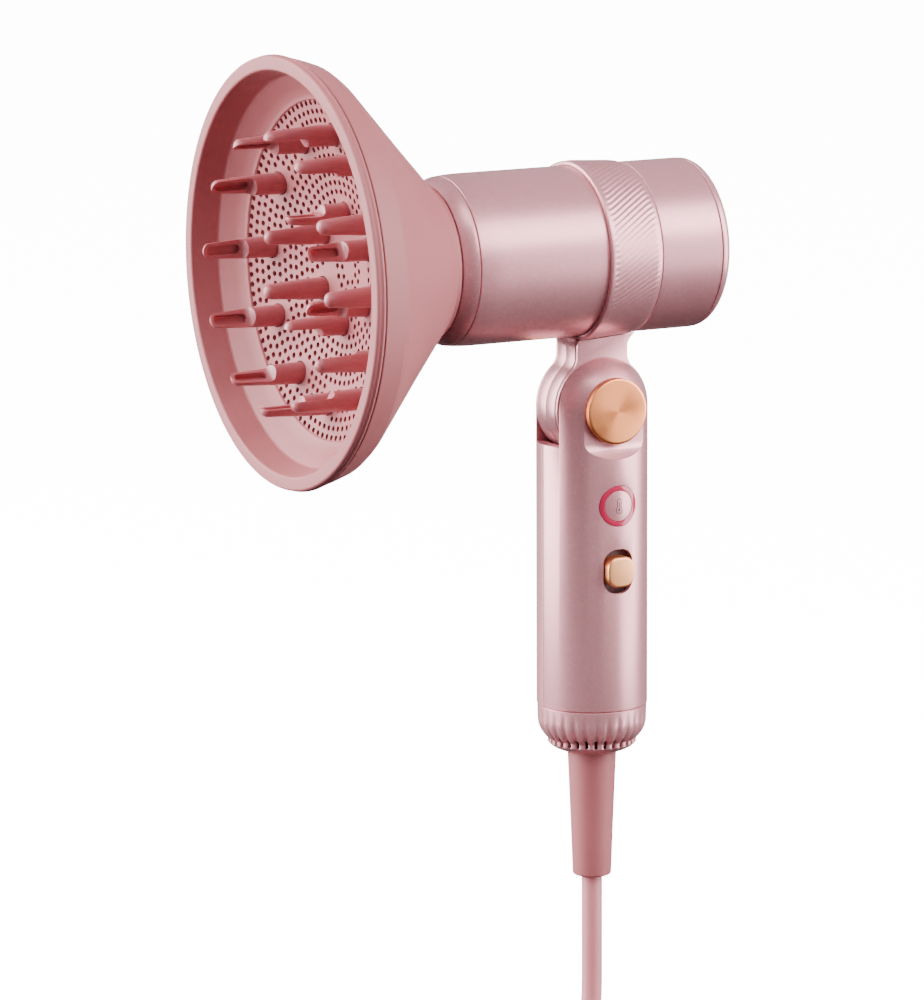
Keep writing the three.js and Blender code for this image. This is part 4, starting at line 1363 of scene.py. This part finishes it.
@dataclass
class FilterCover:
    """The pull-off rear cover with its ring of air slots and the woven mesh behind it."""

    radius: float = 29.65
    rear: float = -39.5
    front: float = -35.6
    slot_rings: Sequence[tuple[float, int]] = ((8.5, 12), (13.5, 20), (18.5, 28), (23.2, 36))

    def cover(self, palette: Palette) -> None:
        """Builds the dished cover and pierces it with rounded radial slots."""
        r = self.radius
        outline = [(r - 2.0, self.front), (r - 0.22, self.front), (r, self.front - 0.22)]
        outline += arc(r - 3.4, self.rear + 3.4, 3.4, 0, -90, 12)
        proud, sunk, inside = self.rear + 0.1, self.rear + 0.55, self.rear + 1.9
        outline += [(26.2, self.rear + 0.03), (25.7, sunk), (5.5, sunk), (5.0, proud), (0.6, proud)]
        outline += [(0.6, inside), (27.2, inside)]
        cover = turned("rear_cover", Axis.ALONG_X, outline, sides=160, centre=(0, 0, BARREL_Z))
        tools = []
        for ring, count in self.slot_rings:
            slot = plate_from("slot", rounded_outline(1.25, 3.6, 0.6, (0, ring), 4), self.rear - 1,
                              self.rear + 3, Axis.ALONG_X)
            slot.data.transform(Matrix.Translation((0, 0, BARREL_Z * MM)))
            places = [about(Axis.ALONG_X, (0, 0, BARREL_Z), 360 * (i + 0.5) / count) for i in range(count)]
            tools.append(repeated("slots", slot, places))
        cut(cover, *tools)
        smooth(cover, 28)
        place_piece(cover, "filter", "satin_pink", palette.lacquer, "rear_filter_cover")

    def mesh(self, palette: Palette) -> None:
        """Builds the filter mesh as a pierced disc of fine square holes."""
        low, high = node_low("filter_mesh").x, node_high("filter_mesh").x
        disc = turned("filter_gauze", Axis.ALONG_X, [(27.2, low + 0.1), (27.2, high - 0.1)], closed=False,
                      sides=96, centre=(0, 0, BARREL_Z))
        pitch, span = 2.2, 11
        hole = slab("hole", (low - 1, -0.75, BARREL_Z - 0.75), (high + 1, 0.75, BARREL_Z + 0.75))
        places = [Matrix.Translation(Vector((0, pitch * i, pitch * j)) * MM)
                  for i in range(-span, span + 1) for j in range(-span, span + 1)
                  if math.hypot(i, j) * pitch < 25.4]
        cut(disc, repeated("holes", hole, places))
        place_piece(disc, "filter", "steel", palette.steel, "filter_mesh")

    def build(self, palette: Palette) -> None:
        """Builds the cover and the mesh."""
        self.cover(palette)
        self.mesh(palette)


# ------------------------------------------------------------------ diffuser
@dataclass
class ProngSet:
    """One ring of prongs and how they stand on the plate."""

    name: str
    node: str
    count: int
    ring: float
    tip: float
    start: float
    groove_side: int                      # 1 faces outwards, -1 faces the middle


@dataclass
class Diffuser:
    """The bowl, its rim, the dished and pierced plate, and the prongs."""

    bowl_rear: float = 64.8
    bowl_rear_radius: float = 26.6
    flange: float = 108.8
    flange_radius: float = 71.0
    rim_seam: float = 117.8
    rim_front: float = 121.3
    rim_radius: float = 74.0
    rim_inner: float = 68.6
    plate_radius: float = 58.5
    plate_edge: float = 104.2
    plate_centre: float = 94.2
    plate_wall: float = 1.4
    hole_radius: float = 1.0
    hole_pitch: float = 3.4
    prong_radius: float = 3.8
    tip_radius: float = 2.6
    sets: Sequence[ProngSet] = (
        ProngSet("outer_prong_ring", "outer_prongs", 12, 46.3, 127.2, -3.0, -1),
        ProngSet("inner_prong_ring", "inner_prongs", 6, 19.1, 118.6, 27.0, 1),
    )

    def centre(self) -> tuple[float, float, float]:
        """Returns a point on the barrel's axis."""
        return (0, 0, BARREL_Z)

    def dish(self, radius: float) -> float:
        """Returns how far forward the plate's face lies at a radius."""
        return self.plate_centre + (self.plate_edge - self.plate_centre) * (radius / self.plate_radius) ** 1.5

    def bowl(self, palette: Palette) -> None:
        """Builds the cone, its soft shoulder and the flange band."""
        r, seam = self.flange_radius, self.rim_seam - 0.12
        outline = [(24.2, self.bowl_rear), (self.bowl_rear_radius - 0.5, self.bowl_rear)]
        outline += arc(self.bowl_rear_radius - 0.45, self.bowl_rear + 0.6, 0.55, -80, -10, 4)
        outline += [(self.bowl_rear_radius + 0.35, 66.5), (48.3, 87.0), (r - 2.0, self.flange - 2.35)]
        outline += [(r - 1.3, self.flange - 1.55), (r - 0.85, self.flange - 0.75), (r - 0.15, self.flange)]
        outline += [(r + 1.2, 112.9), (self.rim_radius - 0.55, seam - 0.3), (self.rim_radius - 0.8, seam)]
        outline += [(self.rim_radius - 2.2, seam), (r - 2.2, self.flange + 0.6), (27.2, 69.5), (27.2, 71.35),
                    (24.2, 71.35)]
        bowl = smooth(turned("diffuser_cone", Axis.ALONG_X, outline, sides=256, centre=self.centre()), 12)
        place_piece(bowl, "diffuser", "matt_pink", palette.matt, "diffuser_bowl")

    def rim(self, palette: Palette) -> None:
        """Builds the rim: outer band, narrow face, inner wall and sloped shelf."""
        r, low, front, inner = self.rim_radius, self.rim_seam + 0.12, self.rim_front, self.rim_inner
        outline = [(70.4, low), (r - 0.75, low), (r - 0.4, low + 0.25), (r, low + 1.0)]
        outline.append((r - 0.35, front - 1.6))
        outline += arc(r - 1.35, front - 1.0, 1.0, 10, 90, 8)
        outline += arc(inner + 0.9, front - 0.9, 0.9, 90, 175, 8)
        outline += [(inner - 1.0, 115.8), (inner - 1.85, 111.9), (inner - 2.2, 111.35), (inner - 2.9, 110.9)]
        edge = self.plate_radius
        outline += [(62.6, 107.6), (edge + 1.3, 105.3), (edge + 0.5, 104.95), (edge - 0.3, 104.75)]
        outline += [(edge - 0.6, 104.3), (edge + 1.0, 104.3), (66, 109.4), (68.2, 111.8)]
        rim = smooth(turned("diffuser_rim_ring", Axis.ALONG_X, outline, sides=256, centre=self.centre()), 20)
        place_piece(rim, "diffuser", "matt_pink", palette.matt, "diffuser_rim")

    def prong_places(self, group: ProngSet) -> list[Matrix]:
        """Returns the turn of every prong in a ring."""
        return [about(Axis.ALONG_X, self.centre(), group.start + 360 * i / group.count)
                for i in range(group.count)]

    def free_of_prongs(self, y: float, z: float) -> bool:
        """Returns whether a hole at this place keeps clear of every prong's foot."""
        for group in self.sets:
            for i in range(group.count):
                turn = math.radians(group.start + 360 * i / group.count)
                foot = (group.ring * math.cos(turn), group.ring * math.sin(turn))
                if math.hypot(y - foot[0], z - foot[1]) < self.prong_radius + 1.9:
                    return False
        return True

    def plate(self, palette: Palette) -> None:
        """Builds the dished plate and pierces it with staggered rings of small holes."""
        steps = 14
        radii = [0.5 + (self.plate_radius - 0.5) * i / steps for i in range(steps + 1)]
        front = [(r, self.dish(r)) for r in radii]
        back = [(r, self.dish(r) - self.plate_wall) for r in reversed(radii)]
        plate = turned("perforated_plate", Axis.ALONG_X, front + back, sides=192, centre=self.centre())
        plug_hole = turned("core", Axis.ALONG_X, [(0.6, 92.9), (0.6, 94.2)], closed=False, sides=192,
                           centre=self.centre())
        combine(plate, plug_hole, "UNION")
        feet = []
        for group in self.sets:
            reach = self.prong_radius + 0.35
            foot = turned("foot", Axis.ALONG_X, [(reach, 85), (reach, 110)], closed=False, sides=24,
                          centre=(0, group.ring, BARREL_Z))
            feet.append(repeated("feet", foot, self.prong_places(group)))
        cut(plate, *feet)
        hole = turned("hole", Axis.ALONG_X, [(self.hole_radius, 88), (self.hole_radius, 106)], closed=False,
                      sides=10, centre=self.centre())
        places = []
        ring = 5.0
        row = 0
        while ring < self.plate_radius - 1.0:
            row += 1
            count = max(6, int(2 * math.pi * ring / self.hole_pitch))
            if not 11.0 < ring < 14.5:
                for i in range(count):
                    turn = 2 * math.pi * (i + 0.5 * (row % 2)) / count
                    y, z = ring * math.cos(turn), ring * math.sin(turn)
                    if self.free_of_prongs(y, z):
                        places.append(Matrix.Translation(Vector((0, y, z)) * MM))
            ring += self.hole_pitch * 0.9
        LOG.info("the plate has %d holes", len(places))
        cut(plate, repeated("holes", hole, places))
        smooth(plate, 30)
        place_piece(plate, "diffuser", "matt_pink", palette.matt, "diffuser_plate")

    def prong(self, group: ProngSet) -> bpy.types.Object:
        """Models one prong: a tapered rod scooped to a trough with a round-ended groove."""
        base = self.dish(group.ring) - self.plate_wall - 1.0
        tip, r = group.tip, self.prong_radius
        middle = base + (tip - base) * 0.42
        outline = [(r, base), (r, base + 3), (r - 0.25, middle), (self.tip_radius + 0.1, tip - 2.8)]
        outline += arc(self.tip_radius - 2.35, tip - 2.6, 2.45, 12, 84, 7)
        rod = turned("prong", Axis.ALONG_X, outline, closed=False, sides=36, centre=(0, group.ring, BARREL_Z))
        side = group.groove_side
        near, far = group.ring + 0.15 * side, group.ring + 6.0 * side
        corners = [(middle + 1.6, near), (tip + 2, near), (tip + 2, far), (middle, far)]
        scoop = plate_from("scoop", corners, BARREL_Z - 6, BARREL_Z + 6, Axis.ALONG_Z)
        soften(scoop, 1.6, 5, 30, False)
        cut(rod, scoop)
        trough = rounded_outline(tip - middle - 4.0, 3.3, 1.64, ((tip + middle + 1.2) / 2, 0), 7)
        low, high = sorted((group.ring - 1.9 * side, group.ring + 2.0 * side))
        groove = plate_from("groove", trough, low, high)
        groove.data.transform(Matrix.Translation((0, 0, BARREL_Z * MM)))
        cut(rod, groove)
        soften(rod, 0.32, 3, 35)
        return rod

    def prongs(self, palette: Palette) -> None:
        """Builds each ring of prongs on its carrier behind the plate."""
        for group in self.sets:
            behind = self.dish(group.ring) - self.plate_wall - 1.2
            parts = [repeated("prongs", self.prong(group), self.prong_places(group))]
            ring = turned("carrier", Axis.ALONG_X,
                          [(group.ring - 4.5, behind - 1.3), (group.ring + 4.5, behind - 1.3),
                           (group.ring + 4.5, behind), (group.ring - 4.5, behind)],
                          sides=96, centre=self.centre())
            parts.append(ring)
            piece = smooth(joined(group.name, parts), 34)
            place_piece(piece, "diffuser", "rose_prongs", palette.prong, group.node)

    def build(self, palette: Palette) -> None:
        """Builds the whole diffuser."""
        self.bowl(palette)
        self.rim(palette)
        self.plate(palette)
        self.prongs(palette)


def dress_carried_nodes(palette: Palette) -> None:
    """Gives each CAD node that stays its slot's material."""
    slots = {row["node"]: row["material_slot"] for row in frame["record"]["subparts"]}
    finishes = palette.by_slot()
    for name, node in frame["nodes"].items():
        for place in node.material_slots:
            place.material = finishes[slots[name]]


def main() -> None:
    """Builds the studio and every sub-assembly in order."""
    logging.basicConfig(level=logging.INFO)
    palette = Palette()
    Studio().build()
    dress_carried_nodes(palette)
    MainsLead().build(palette)
    Handle().build(palette)
    HingeCaps().build(palette)
    TemperatureKey().build(palette)
    PowerSlider().build(palette)
    Neck().build(palette)
    Barrel().build(palette)
    FilterCover().build(palette)
    Diffuser().build(palette)


if __name__ == "__main__":
    main()
